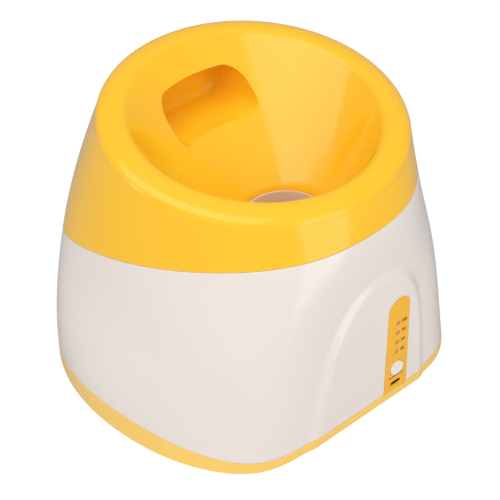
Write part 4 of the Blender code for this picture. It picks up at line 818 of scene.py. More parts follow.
    def band(
        self, angle: Array, heights: tuple[Array, Array], edge: float, facets: int, rows: int
    ) -> list[Array]:
        """Rows of the skin between two heights, both edges rounded.

        Args:
            angle: Bearings of the columns.
            heights: Lower and upper height at each bearing.
            edge: Radius of the rounding.
            facets: Rows in each rounding.
            rows: Rows between the two.

        Returns:
            One array of places for each row.
        """
        low, high = heights
        start, end = low + edge, high - edge
        band = self.lower_edge(angle, low, edge, facets)
        band += [self.wall(angle, start + (end - start) * share) for share in np.linspace(0.0, 1.0, rows)[1:]]
        for turn in np.linspace(0.0, QUARTER, facets)[1:]:
            band.append(self.wall(angle, end + edge * math.sin(turn), edge * (1.0 - math.cos(turn))))
        return band

    def seam(self, angle: Array) -> Array:
        """Height of the seam between cap and shell.

        Args:
            angle: Bearings.

        Returns:
            The heights.
        """
        height = np.full(angle.shape, self.seam_middle)
        for _ in range(self.passes):
            y = self.wall(angle, height)[..., 1] - self.offset_y
            ahead = np.maximum(0.0, -y - self.seam_level_start)
            bend = self.seam_bow * y * y + self.seam_level * ahead * ahead
            height = self.seam_middle + self.seam_slope * y + bend / self.base_radius
        return height

    def base_seam(self, angle: Array) -> Array:
        """Height of the seam between shell and base.

        Args:
            angle: Bearings.

        Returns:
            The heights.
        """
        turn = (1.0 - np.cos(angle)) / 2.0
        wave = np.abs(np.sin(angle)) ** self.base_wave_power
        return self.base_rear + (self.base_front - self.base_rear) * turn + self.base_wave * wave

    def rim_plane(self, y: Array) -> Array:
        """Height of the tilted plane of the rim at places along the body."""
        return self.height + self.rim_slope * (y - self.offset_y)


@dataclass
class ScrewBosses:
    """Bosses inside a wall, each with its screw hole and a thin rib to the wall."""

    form: BodyForm
    bearings: tuple[float, ...]
    inset: float
    radius: float
    height: float
    wall: float
    seam: Callable[[Array], Array]
    low: Callable[[float], float]
    hole: float = 0.0018
    hole_depth: float = 0.0110
    rib_thickness: float = 0.0018
    rib_rise: float = 0.0060
    lug_drop: float = 0.0090
    lug_thickness: float = 0.0030

    def _point(self, angle: float, height: float, depth: float) -> Vector:
        """Point at a bearing and height, some depth inside the skin."""
        return Vector(self.form.wall(np.array([angle]), np.array([height]), depth)[0])

    def _spots(self) -> list[tuple[float, float, Vector]]:
        """Bearing, seam height and plan place of each boss.

        Returns:
            One row for each boss.
        """
        spots = []
        for bearing in self.bearings:
            angle = math.radians(bearing)
            seam = float(self.seam(np.array([angle]))[0])
            spots.append((angle, seam, self._point(angle, seam, self.inset)))
        return spots

    def _plate(
        self, angle: float, middle: Vector, heights: Sequence[float], half: float, facets: int
    ) -> Piece:
        """Upright rib or flat lug between a boss and the middle of the wall.

        Args:
            angle: Bearing of the boss.
            middle: Plan place of the boss.
            heights: Heights of its rows.
            half: Half its width.
            facets: Facets of its round inner end, or 1 for a square one.

        Returns:
            The closed object.
        """
        rows = []
        for height in heights:
            foot = self._point(angle, height, self.wall / 2)
            start = Vector((middle.x, middle.y, height))
            foot.z = height
            along = (foot - start).normalized()
            side = Vector((-along.y, along.x, 0.0)) * half
            row = [foot - side, foot + side]
            for turn in np.linspace(0.0, math.pi, facets + 1):
                reach = along * half * math.sin(turn) if facets > 1 else Vector()
                row.append(start + side * math.cos(turn) - reach)
            rows.append([tuple(point) for point in row])
        return Workbench.stack("plate", np.array(rows))

    def bosses(self) -> Piece:
        """All bosses with their ribs.

        Returns:
            One closed object.
        """
        bosses = []
        for angle, seam, middle in self._spots():
            low = self.low(seam)
            high, top = low + self.height, low + self.hole_depth
            profile = [(0.0, top), (self.hole, top), (self.hole, low)]
            profile += [(self.radius, low), (self.radius, high), (0.0, high)]
            boss = Workbench.turned("boss", profile, 32)
            Workbench.put(boss, Matrix.Translation((middle.x, middle.y, 0.0)))
            heights = np.linspace(seam + self.rib_rise, high - self.radius / 2, 3)
            rib = self._plate(angle, middle, heights, self.rib_thickness / 2, 1)
            bosses.append(Workbench.merged([boss, rib]))
        return Workbench.merged(bosses)

    def lugs(self) -> Piece:
        """All lugs that carry these bosses from the other piece.

        Returns:
            One closed object.
        """
        lugs = []
        for angle, seam, middle in self._spots():
            high = seam - self.lug_drop
            low = high - self.lug_thickness
            lugs.append(self._plate(angle, middle, (low, high), self.radius, 12))
            drill = Workbench.rod("drill", self.hole, low - self.hole, high + self.hole, 32)
            Workbench.combine(lugs[-1], Workbench.put(drill, Matrix.Translation((middle.x, middle.y, 0.0))))
        return Workbench.merged(lugs)


@dataclass
class HopperCap:
    """Yellow cap: skirt, broad round rim, funnel and hand pocket."""

    form: BodyForm
    wall: float = 0.0026
    edge: float = 0.0006
    lip_radius: float = 0.0883
    lip_offset: float = -0.0008
    crown: float = 0.00836
    lip_rounding: float = 0.0080
    throat_radius: float = 0.0335
    throat_offset: float = 0.0334
    throat_height: float = 0.1350
    throat_rounding: float = 0.0060
    collar: float = 0.0060
    pocket_axis: float = 0.0009
    pocket_half: float = 0.0368
    pocket_floor: float = 0.1720
    pocket_top: float = 0.2000
    pocket_back: float = 0.0895
    pocket_mouth: float = 0.0180
    pocket_bend: float = 0.0400
    pocket_drop: float = 0.0075
    pocket_corner: float = 0.0115
    pocket_wall: float = 0.0022
    pocket_sink: float = 0.0012
    pocket_rounding: float = 0.0050
    void_rise: float = 0.03

    def rows(self, angle: Array) -> Array:
        """Rows of the closed cap profile, from the seam over the rim and back.

        Args:
            angle: Bearings of the columns.

        Returns:
            Array of shape (rows, columns, 3).
        """
        form = self.form
        low_height = form.seam(angle) + GAP / 2
        rows = form.lower_edge(angle, low_height, self.edge, 4)
        low = form.share_at(angle, low_height + self.edge)
        rows += [form.inset(angle, low + (1.0 - low) * share, 0.0) for share in np.linspace(0.02, 1.0, 56)]
        outer = rows[-1]
        sine, cosine = np.sin(angle), np.cos(angle)
        lip_y = self.lip_offset + form.offset_y + self.lip_radius * cosine
        span = np.stack([self.lip_radius * sine, lip_y], axis=-1) - outer[:, :2]
        width = np.linalg.norm(span, axis=1)
        inward = span / width[:, None]

        def rim(reach: Array, height: Array | float) -> Array:
            """Point over the rim at a reach inwards and a height over its plane."""
            plan = outer[:, :2] + inward * reach[:, None]
            return np.column_stack([plan, form.rim_plane(plan[:, 1]) + height])

        up = np.array([0.0, 0.0, 1.0])
        radial = np.column_stack([sine, cosine, np.zeros(len(angle))])
        centre = np.array([0.0, self.throat_offset + form.offset_y, self.throat_height])
        throat = centre + radial * self.throat_radius
        slope = rim(width, self.crown) - throat
        length = np.linalg.norm(slope, axis=1)
        steep = np.arcsin(slope[:, 2] / length)
        tangent = self.lip_rounding * np.tan(steep / 2)
        for turn in np.linspace(0.0, QUARTER, 25)[1:]:
            rows.append(rim((width - tangent) * (1.0 - math.cos(turn)), self.crown * math.sin(turn)))
        for share in np.linspace(0.0, 1.0, 13)[1:]:
            turn = steep * share
            reach = width - tangent + self.lip_rounding * np.sin(turn)
            rows.append(rim(reach, self.crown - self.lip_rounding * (1.0 - np.cos(turn))))
        top = rows[-1]
        inside = self.throat_rounding * np.tan((QUARTER - steep) / 2)
        start = throat + slope / length[:, None] * inside[:, None]
        rows += [top + (start - top) * share for share in np.linspace(0.0, 1.0, 33)[1:]]
        middle = throat - up * inside[:, None] + radial * self.throat_rounding
        for share in np.linspace(0.0, 1.0, 10)[1:]:
            turn = (steep + (QUARTER - steep) * share)[:, None]
            rows.append(middle + (up * np.cos(turn) - radial * np.sin(turn)) * self.throat_rounding)
        drop = up * self.collar
        rows += [throat - drop, throat - drop + radial * self.wall]
        flat = np.linalg.norm(slope[:, :2], axis=1)
        offset = np.column_stack([slope[:, :2] / flat[:, None], np.zeros(len(angle))])
        offset *= (self.wall * slope[:, 2] / length)[:, None]
        offset[:, 2] = -self.wall * flat / length
        under = throat + radial * self.wall
        under[:, 2] += offset[:, 2]
        rows.append(under)
        rows += [throat + (top - throat) * share + offset for share in np.linspace(0.0, 1.0, 7)[1:]]
        inner, crest = width - tangent - 1.5 * self.wall, self.crown - self.wall
        for turn in np.linspace(QUARTER, 0.0, 9)[:-1]:
            rows.append(rim(self.wall + inner * (1.0 - math.cos(turn)), crest * math.sin(turn)))
        climb = 1.0 - form.share_at(angle, low_height)
        rows += [form.inset(angle, 1.0 - climb * share, self.wall) for share in np.linspace(0.0, 1.0, 16)]
        return np.array(rows)

    def pocket(self, grow: float) -> Piece:
        """Hand pocket as a solid, grown on all sides.

        Args:
            grow: How far it is grown.

        Returns:
            The closed object.
        """
        places = [(self.pocket_mouth, 0.0, 0.0), (self.pocket_bend, 0.0, 0.0)]
        back, rounding = self.pocket_back + grow, self.pocket_rounding
        for turn in np.linspace(0.0, QUARTER, 7):
            reach = back - rounding * (1.0 - math.sin(turn))
            places.append((reach, self.pocket_drop, rounding * (1.0 - math.cos(turn))))
        rows = []
        for reach, drop, shrink in places:
            margin = grow - shrink
            low = self.pocket_floor - drop - margin
            high = self.pocket_top + margin
            corner = max(self.pocket_corner + margin, self.pocket_corner / 2)
            outline = rounded_rectangle(self.pocket_half + margin, (high - low) / 2, corner, 12)
            middle = (low + high) / 2
            rows.append([(self.pocket_axis + x, self.form.offset_y - reach, middle + z) for x, z in outline])
        return Workbench.stack("pocket", np.array(rows))

    def void(self) -> Piece:
        """Solid that fills the funnel, sunk a little.

        Returns:
            The closed object.
        """
        angle = circle(144)
        sine, cosine = np.sin(angle), np.cos(angle)
        throat_y = self.throat_offset + self.form.offset_y + self.throat_radius * cosine
        lip_y = self.lip_offset + self.form.offset_y + self.lip_radius * cosine
        floor = np.full(len(angle), self.throat_height - self.pocket_sink)
        rows = [np.column_stack([self.throat_radius * sine, throat_y, floor])]
        for rise in (self.crown - self.pocket_sink, self.void_rise):
            rows.append(np.column_stack([self.lip_radius * sine, lip_y, self.form.rim_plane(lip_y) + rise]))
        return Workbench.stack("void", np.array(rows))

    def screw_bosses(self) -> ScrewBosses:
        """Bosses that take the cap screws, each just over its lug.

        Returns:
            Their sizes and places.
        """
        return ScrewBosses(
            self.form,
            bearings=(40.0, 90.0, 270.0, 320.0),
            inset=0.0125,
            radius=0.0042,
            height=0.0180,
            wall=self.wall,
            seam=self.form.seam,
            low=lambda seam: seam - ScrewBosses.lug_drop + GAP,
        )

    def build(self) -> Piece:
        """Build and dress the cap.

        Returns:
            The finished cap.
        """
        cap = Workbench.ring("hopper_cap_skin", self.rows(np.radians(np.arange(0.0, 360.0, 1.25))))
        block = self.pocket(self.pocket_wall)
        Workbench.combine(block, self.void())
        Workbench.combine(cap, block, "UNION")
        Workbench.combine(cap, self.pocket(0.0))
        Workbench.combine(cap, self.screw_bosses().bosses(), "UNION")
        return Workbench.finish(cap, CAP_YELLOW, "yellow_gloss", ["hopper_cap"])


@dataclass
class ControlPanel:
    """Yellow tongue on the rear with lights, numbers, button and charging socket.

    A height is above the ground, and a back or front is along the panel's outward normal.
    """

    form: BodyForm
    axis: float = -0.0324
    half_width: float = 0.0112
    top_half_width: float = 0.0100
    top: float = 0.0985
    foot: float = 0.00895
    thickness: float = 0.0026
    proud: float = 0.0004
    edge: float = 0.0003
    cut: tuple[float, float] = (-0.006, 0.004)
    slot_cut: tuple[float, float] = (-0.008, 0.006)
    slot_foot: float = 0.005
    slot_gap: float = 0.00015
    flange: tuple[float, float] = (-0.0033, -0.0025)
    lens_radius: float = 0.0016
    lens_flange: float = 0.0011
    lens_back: float = -0.0060
    lens_dome: float = 0.0003
    lens_offset: float = -0.0006
    lens_heights: tuple[float, ...] = (0.0750, 0.0657, 0.0564, 0.0471)
    marks: tuple[str, ...] = ("100", "75", "50", "25")
    mark_size: float = 0.0039
    mark_weight: float = 0.00010
    mark_offset: float = 0.0050
    print_depth: float = 0.00006
    rule_height: float = 0.0228
    rule_half_width: float = 0.0074
    rule_thickness: float = 0.0008
    button_height: float = 0.0310
    button_radius: float = 0.0060
    button_proud: float = 0.0014
    button_flange: float = 0.0009
    button_edge: float = 0.0007
    button_edge_turn: float = 1.45
    button_dish: float = 0.0003
    dish_shares: tuple[float, ...] = (0.8, 0.6, 0.4, 0.2)
    stem_radius: float = 0.0016
    stem_back: float = -0.0037
    usb_height: float = 0.0160
    usb_half_width: float = 0.0046
    usb_half_height: float = 0.0015
    usb_setback: float = 0.0006
    usb_wall: float = 0.0004
    usb_depth: float = 0.0048
    usb_overrun: float = 0.001
    corner_slack: float = 0.0002
    tongue_inset: float = 0.0007
    tongue_half: float = 0.00032
    tongue_root: float = 0.0050
    tongue_setback: float = 0.0006
    board_front: float = 0.0074

    def place(self, height: float, across: float = 0.0) -> Matrix:
        """Frame on the arch's plane, Z out of the body.

        Args:
            height: Height above the ground.
            across: Offset along the panel's X.

        Returns:
            Rigid matrix.
        """
        lean = self.form.arch_lean
        out = Vector((0.0, 1.0, lean)).normalized()
        up = Vector((0.0, -lean, 1.0)).normalized()
        reach = self.form.arch_plane - lean * height + self.form.offset_y
        return rigid(Vector((self.axis - across, reach, height)), Vector((-1.0, 0.0, 0.0)), up, out)

    def outline(self, grow: float = 0.0) -> Outline:
        """Outline of the tongue in its plane.

        Args:
            grow: How far its free sides are grown.

        Returns:
            Points of the outline.
        """
        foot, top = self.half_width + grow, self.top_half_width + grow
        low = self.foot - (self.slot_foot if grow else 0.0)
        return [(-foot, low), (foot, low), *arc(0.0, self.top + grow - top, top, (0, 2), 49)]

    def slot(self) -> Piece:
        """Cutter for the slot in the shell."""
        tool = Workbench.prism("slot", self.outline(self.slot_gap), *self.slot_cut)
        return Workbench.put(tool, self.place(0.0))

    def build(self) -> None:
        """Build and dress the panel and what it carries."""
        back = self.proud - self.thickness
        panel = Workbench.prism("control_panel_skin", self.outline(), back, self.proud)
        Workbench.put(panel, self.place(0.0))
        holes = [(self.lens_radius, height, self.lens_offset) for height in self.lens_heights]
        for radius, height, across in (*holes, (self.button_radius, self.button_height, 0.0)):
            drill = Workbench.rod("drill", radius + GAP, *self.cut, 48)
            Workbench.combine(panel, Workbench.put(drill, self.place(height, across)))
        wide, high = self.usb_half_width, self.usb_half_height
        tool = Workbench.prism("slot", rounded_rectangle(wide + GAP, high + GAP, high), *self.cut)
        Workbench.combine(panel, Workbench.put(tool, self.place(self.usb_height)))
        Workbench.soften(panel, self.edge, 3)
        Workbench.finish(panel, PANEL_YELLOW, "panel_yellow", ["control_panel"])
        self._lenses()
        self._numbers()
        self._button()
        self._socket()

    def _lenses(self) -> None:
        """Four small domed lights."""
        r, wide, dome = self.lens_radius, self.lens_radius + self.lens_flange, self.lens_dome
        back, front = self.flange
        profile = [(0.0, self.lens_back), (r, self.lens_back), (r, back)]
        profile += [(wide, back), (wide, front), (r, front)]
        turns = np.linspace(0.0, QUARTER, 7)[:-1]
        profile += [(r * math.cos(a), self.proud + dome * math.sin(a)) for a in turns]
        sample = Workbench.turned("lens_sample", [*profile, (0.0, self.proud + dome)], 32)
        places = [self.place(height, self.lens_offset) for height in self.lens_heights]
        lenses = CopyTree("copies_of_lenses").copies("led_lenses", sample, places, LENS_CLEAR)
        Workbench.finish(lenses, LENS_CLEAR, "clear_lens", [f"led_lens_{number}" for number in range(1, 5)])

    def _numbers(self) -> None:
        """Plain level numbers printed beside the lights and a fine line over the socket."""
        lift = Matrix.Translation((0.0, 0.0, self.proud + self.print_depth / 2))
        for number, (mark, height) in enumerate(zip(self.marks, self.lens_heights), 1):
            text = bpy.data.curves.new(f"number_{number}", "FONT")
            text.body = mark
            text.size = self.mark_size
            text.align_x = text.align_y = "CENTER"
            text.extrude = self.print_depth / 2
            text.offset = self.mark_weight
            piece = Workbench.linked(f"printed_number_{number}", text)
            piece.matrix_world = self.place(height, self.mark_offset) @ lift
            self._print(piece, f"printed_number_{number}_skin")
        outline = rectangle(self.rule_half_width, self.rule_thickness / 2)
        rule = Workbench.prism("rule", outline, self.proud, self.proud + self.print_depth)
        rule.matrix_world = self.place(self.rule_height)
        self._print(rule, "printed_rule")

    def _print(self, piece: Piece, name: str) -> None:
        """Turn a printed mark into a plain mesh and dress it.

        Args:
            piece: Text or mesh at its place.
            name: Name of the finished piece.
        """
        bpy.context.view_layer.update()
        graph = bpy.context.evaluated_depsgraph_get()
        mesh = bpy.data.meshes.new_from_object(piece.evaluated_get(graph))
        mesh.transform(piece.matrix_world)
        bpy.data.objects.remove(piece, do_unlink=True)
        Workbench.close(mesh)
        Workbench.finish(Workbench.linked(name, mesh), PRINT_BROWN, "black_plastic")

    def _button(self) -> None:
        """White push button with a shallow dish."""
        r, top, edge = self.button_radius, self.proud + self.button_proud, self.button_edge
        wide, stem = r + self.button_flange, self.stem_radius
        back, front = self.flange
        profile = [(0.0, self.stem_back), (stem, self.stem_back), (stem, back), (wide, back), (wide, front)]
        profile += [(r, front), *arc(r - edge, top - edge, edge, (0, self.button_edge_turn / QUARTER), 7)]
        profile += [(r * share, top - self.button_dish * (1 - share**2)) for share in self.dish_shares]
        button = Workbench.turned("power_button_skin", [*profile, (0.0, top - self.button_dish)], 72)
        Workbench.put(button, self.place(self.button_height))
        Workbench.finish(button, BUTTON_WHITE, "white_gloss", ["power_button"], "button_body")

    def _socket(self) -> None:
        """Charging socket: rolled shell with its tongue."""
        front, slack = self.proud - self.usb_setback, self.corner_slack
        shape = rounded_rectangle(self.usb_half_width, self.usb_half_height, self.usb_half_height - slack)
        socket = Workbench.prism("usb_socket_skin", shape, GAP - self.board_front, front)
        across, along = self.usb_half_width - self.usb_wall, self.usb_half_height - self.usb_wall
        inner = rounded_rectangle(across, along, along - slack)
        hollow = Workbench.prism("hollow", inner, front - self.usb_depth, front + self.usb_overrun)
        Workbench.combine(socket, hollow)
        shape = rectangle(across - self.tongue_inset, self.tongue_half)
        tongue = Workbench.prism("tongue", shape, front - self.tongue_root, front - self.tongue_setback)
        Workbench.combine(socket, tongue, "UNION")
        Workbench.put(socket, self.place(self.usb_height))
        Workbench.finish(socket, SOCKET_STEEL, "zinc_steel", ["usb_socket"])


@dataclass
class BodyShell:
    """White side wall with its rear arch."""

    form: BodyForm
    panel: ControlPanel
    line: LaunchLine
    cap: HopperCap
    wall: float = 0.0026
    edge: float = 0.0006
    tongue: float = 0.0040
    tongue_wall: float = 0.0020
    tongue_root: float = 0.004
    wall_start: float = 0.009
    tray_floor: float = 0.0038
    mouth_radius: float = 0.0314
    mouth_cut: tuple[float, float] = (-0.014, 0.02)

    def rows(self, angle: Array) -> Array:
        """Rows of the closed wall profile.

        Args:
            angle: Bearings of the columns.

        Returns:
            Array of shape (rows, columns, 3).
        """
        form = self.form
        low = form.base_seam(angle) + GAP / 2
        high = form.seam(angle) - GAP / 2
        rows = form.band(angle, (low, high), self.edge, 4, 104)
        outer = self.wall + GAP
        inner = outer + self.tongue_wall
        rows += [form.wall(angle, high + rise, outer) for rise in (0.0, self.tongue)]
        rows += [form.wall(angle, high + rise, inner) for rise in (self.tongue, -self.tongue_root)]
        top, shares = high - self.wall_start, np.linspace(0.0, 1.0, 18)
        rows += [form.wall(angle, top + (low - top) * share, self.wall) for share in shares]
        return np.array(rows)

    def screw_bosses(self) -> ScrewBosses:
        """Bosses that take the shell screws, each just over the tray's floor.

        Returns:
            Their sizes and places.
        """
        return ScrewBosses(
            self.form,
            bearings=(62.0, 118.0, 242.0, 298.0),
            inset=0.0120,
            radius=0.0045,
            height=0.0260,
            wall=self.wall,
            seam=self.form.base_seam,
            low=lambda _: self.tray_floor + GAP,
        )

    def build(self) -> Piece:
        """Build and dress the shell.

        Returns:
            The finished shell.
        """
        shell = Workbench.ring("body_shell_skin", self.rows(bearings()))
        Workbench.combine(shell, self.panel.slot())
        drill = Workbench.rod("drill", self.mouth_radius, *self.mouth_cut)
        Workbench.combine(shell, Workbench.put(drill, self.line.place()))
        Workbench.combine(shell, self.screw_bosses().bosses(), "UNION")
        Workbench.combine(shell, self.cap.screw_bosses().lugs(), "UNION")
        return Workbench.finish(shell, BODY_WHITE, "white_gloss", ["body_shell"], angle=38.0)


@dataclass
class BaseTray:
    """Yellow base: visible band, tongue and floor, with the posts and cradles of the CAD tray."""

    form: BodyForm
    edge: float = 0.0006
    clearance: float = 0.0010
    floor: float = 0.0028
    ledge: float = 0.0029
    tongue: float = 0.0040
    tongue_wall: float = 0.0020
    overlap: float = 0.0005
    top: float = 0.1600

    def rows(self, angle: Array) -> Array:
        """Rows of the band and the edge of the floor.

        Args:
            angle: Bearings of the columns.

        Returns:
            Array of shape (rows, columns, 3).
        """
        form = self.form
        seam = form.base_seam(angle) - GAP / 2
        low = np.full(angle.shape, self.clearance)
        inner = self.ledge + self.tongue_wall
        rows = [form.wall(angle, low, inner), *form.band(angle, (low, seam), self.edge, 5, 12)]
        rows += [form.wall(angle, seam + rise, self.ledge) for rise in (0.0, self.tongue)]
        rows += [form.wall(angle, height, inner) for height in (seam + self.tongue, low + self.floor)]
        return np.array(rows)

    def build(self) -> Piece:
        """Build and dress the tray.

        Returns:
            The finished tray.
        """
        tray = Workbench.ring("base_tray_skin", self.rows(bearings()))
        inner = self.ledge + self.tongue_wall - self.overlap
        middle = Workbench.core("base_tray", self.form, inner, -self.floor, self.top)
        Workbench.combine(tray, middle, "UNION")
        # The base's yellow carries painted bounce light from the floor as well as its own colour.
        return Workbench.finish(tray, BASE_YELLOW_AND_BOUNCE, "yellow_gloss", ["base_tray"])


@dataclass
class Fasteners:
    """Slotted screws and rubber feet, copied to their places by Geometry Nodes."""

    head_radius: float = 0.0030
    head_height: float = 0.0013
    head_turn: float = 0.15
    radius: float = 0.0015
    length: float = 0.0110
    slot_width: float = 0.0008
    slot_depth: float = 0.0006
    slot_overrun: float = 1.2
    thread_pitch: float = 0.0009
    thread_depth: float = 0.00022
    foot_radius: float = 0.0080
    foot_height: float = 0.0019
    foot_crown: float = 0.0006
    grip_shares: tuple[tuple[float, float], ...] = (
        (0.0, 0.5),
        (0.25, 0.5),
        (0.30, 0.0),
        (0.45, 0.0),
        (0.50, 0.5),
        (0.62, 0.5),
        (0.67, 0.0),
    )
    deck_reach: float = 0.0345

    def screw(self) -> Piece:
        """Sample screw at the origin, its head above zero.

        Returns:
            The closed object.
        """
        tip, root = self.length - self.radius, self.radius - self.thread_depth
        profile = [(0.0, -self.length)]
        for turn in range(math.floor((tip - self.radius) / self.thread_pitch)):
            low = -tip + turn * self.thread_pitch
            profile += [(root, low), (self.radius, low + self.thread_pitch / 2)]
        profile += [(root, -self.radius), (self.radius, -self.radius / 2)]
        profile += [(self.radius, 0.0), (self.head_radius, 0.0)]
        for turn in np.linspace(self.head_turn, QUARTER, 6)[:-1]:
            wide = self.head_radius - self.head_height / 2 * (1.0 - math.cos(turn))
            profile.append((wide, self.head_height * math.sin(turn)))
        profile.append((0.0, self.head_height))
        sample = Workbench.turned("screw_sample", profile, 24)
        outline = rectangle(self.slot_width / 2, self.head_radius * self.slot_overrun)
        tool = Workbench.prism("driver", outline, self.head_height - self.slot_depth, self.head_height * 2)
        Workbench.combine(sample, tool)
        return sample

    def foot(self) -> Piece:
        """Sample foot at the origin with two grip rings below.

        Returns:
            The closed object.
        """
        wide, crown = self.foot_radius, self.foot_crown
        profile = [(wide * share, crown * rise) for share, rise in self.grip_shares]
        profile += arc(wide - crown, crown, crown, (-1, 0), 6)
        profile += [(wide, self.foot_height), (0.0, self.foot_height)]
        return Workbench.turned("foot_sample", profile, 64)

    def build(self, line: LaunchLine) -> None:
        """Set all screws and feet.

        Args:
            line: Launch line, whose deck takes four screws.
        """
        tree = CopyTree("copies_of_fasteners")
        down, still, lift = Matrix.Rotation(math.pi, 4, "X"), Matrix.Identity(4), self.head_height
        places: dict[str, list[Matrix]] = {}
        seats = {"shell_screw": (lift, down), "cap_screw": (lift, down), "rubber_foot": (0.0, still)}
        for kind, (rise, turn) in seats.items():
            boxes = [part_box(f"{kind}_{number}") for number in range(1, 5)]
            spots = [((low.x + high.x) / 2, (low.y + high.y) / 2, low.z + rise) for low, high in boxes]
            places[kind] = [Matrix.Translation(spot) @ turn for spot in spots]
        corners = [(side * self.deck_reach, end * self.deck_reach) for side in (1, -1) for end in (1, -1)]
        places["deck_screw"] = [line.deck_place(*corner) for corner in corners]
        for kind in ("shell_screw", "cap_screw", "deck_screw", "rubber_foot"):
            foot = kind == "rubber_foot"
            finish, slot = (RUBBER, "rubber") if foot else (ZINC, "zinc_steel")
            sample = self.foot() if foot else self.screw()
            pieces = tree.copies(f"{kind}s_skin", sample, places[kind], finish)
            Workbench.finish(pieces, finish, slot, [f"{kind}_{number}" for number in range(1, 5)])


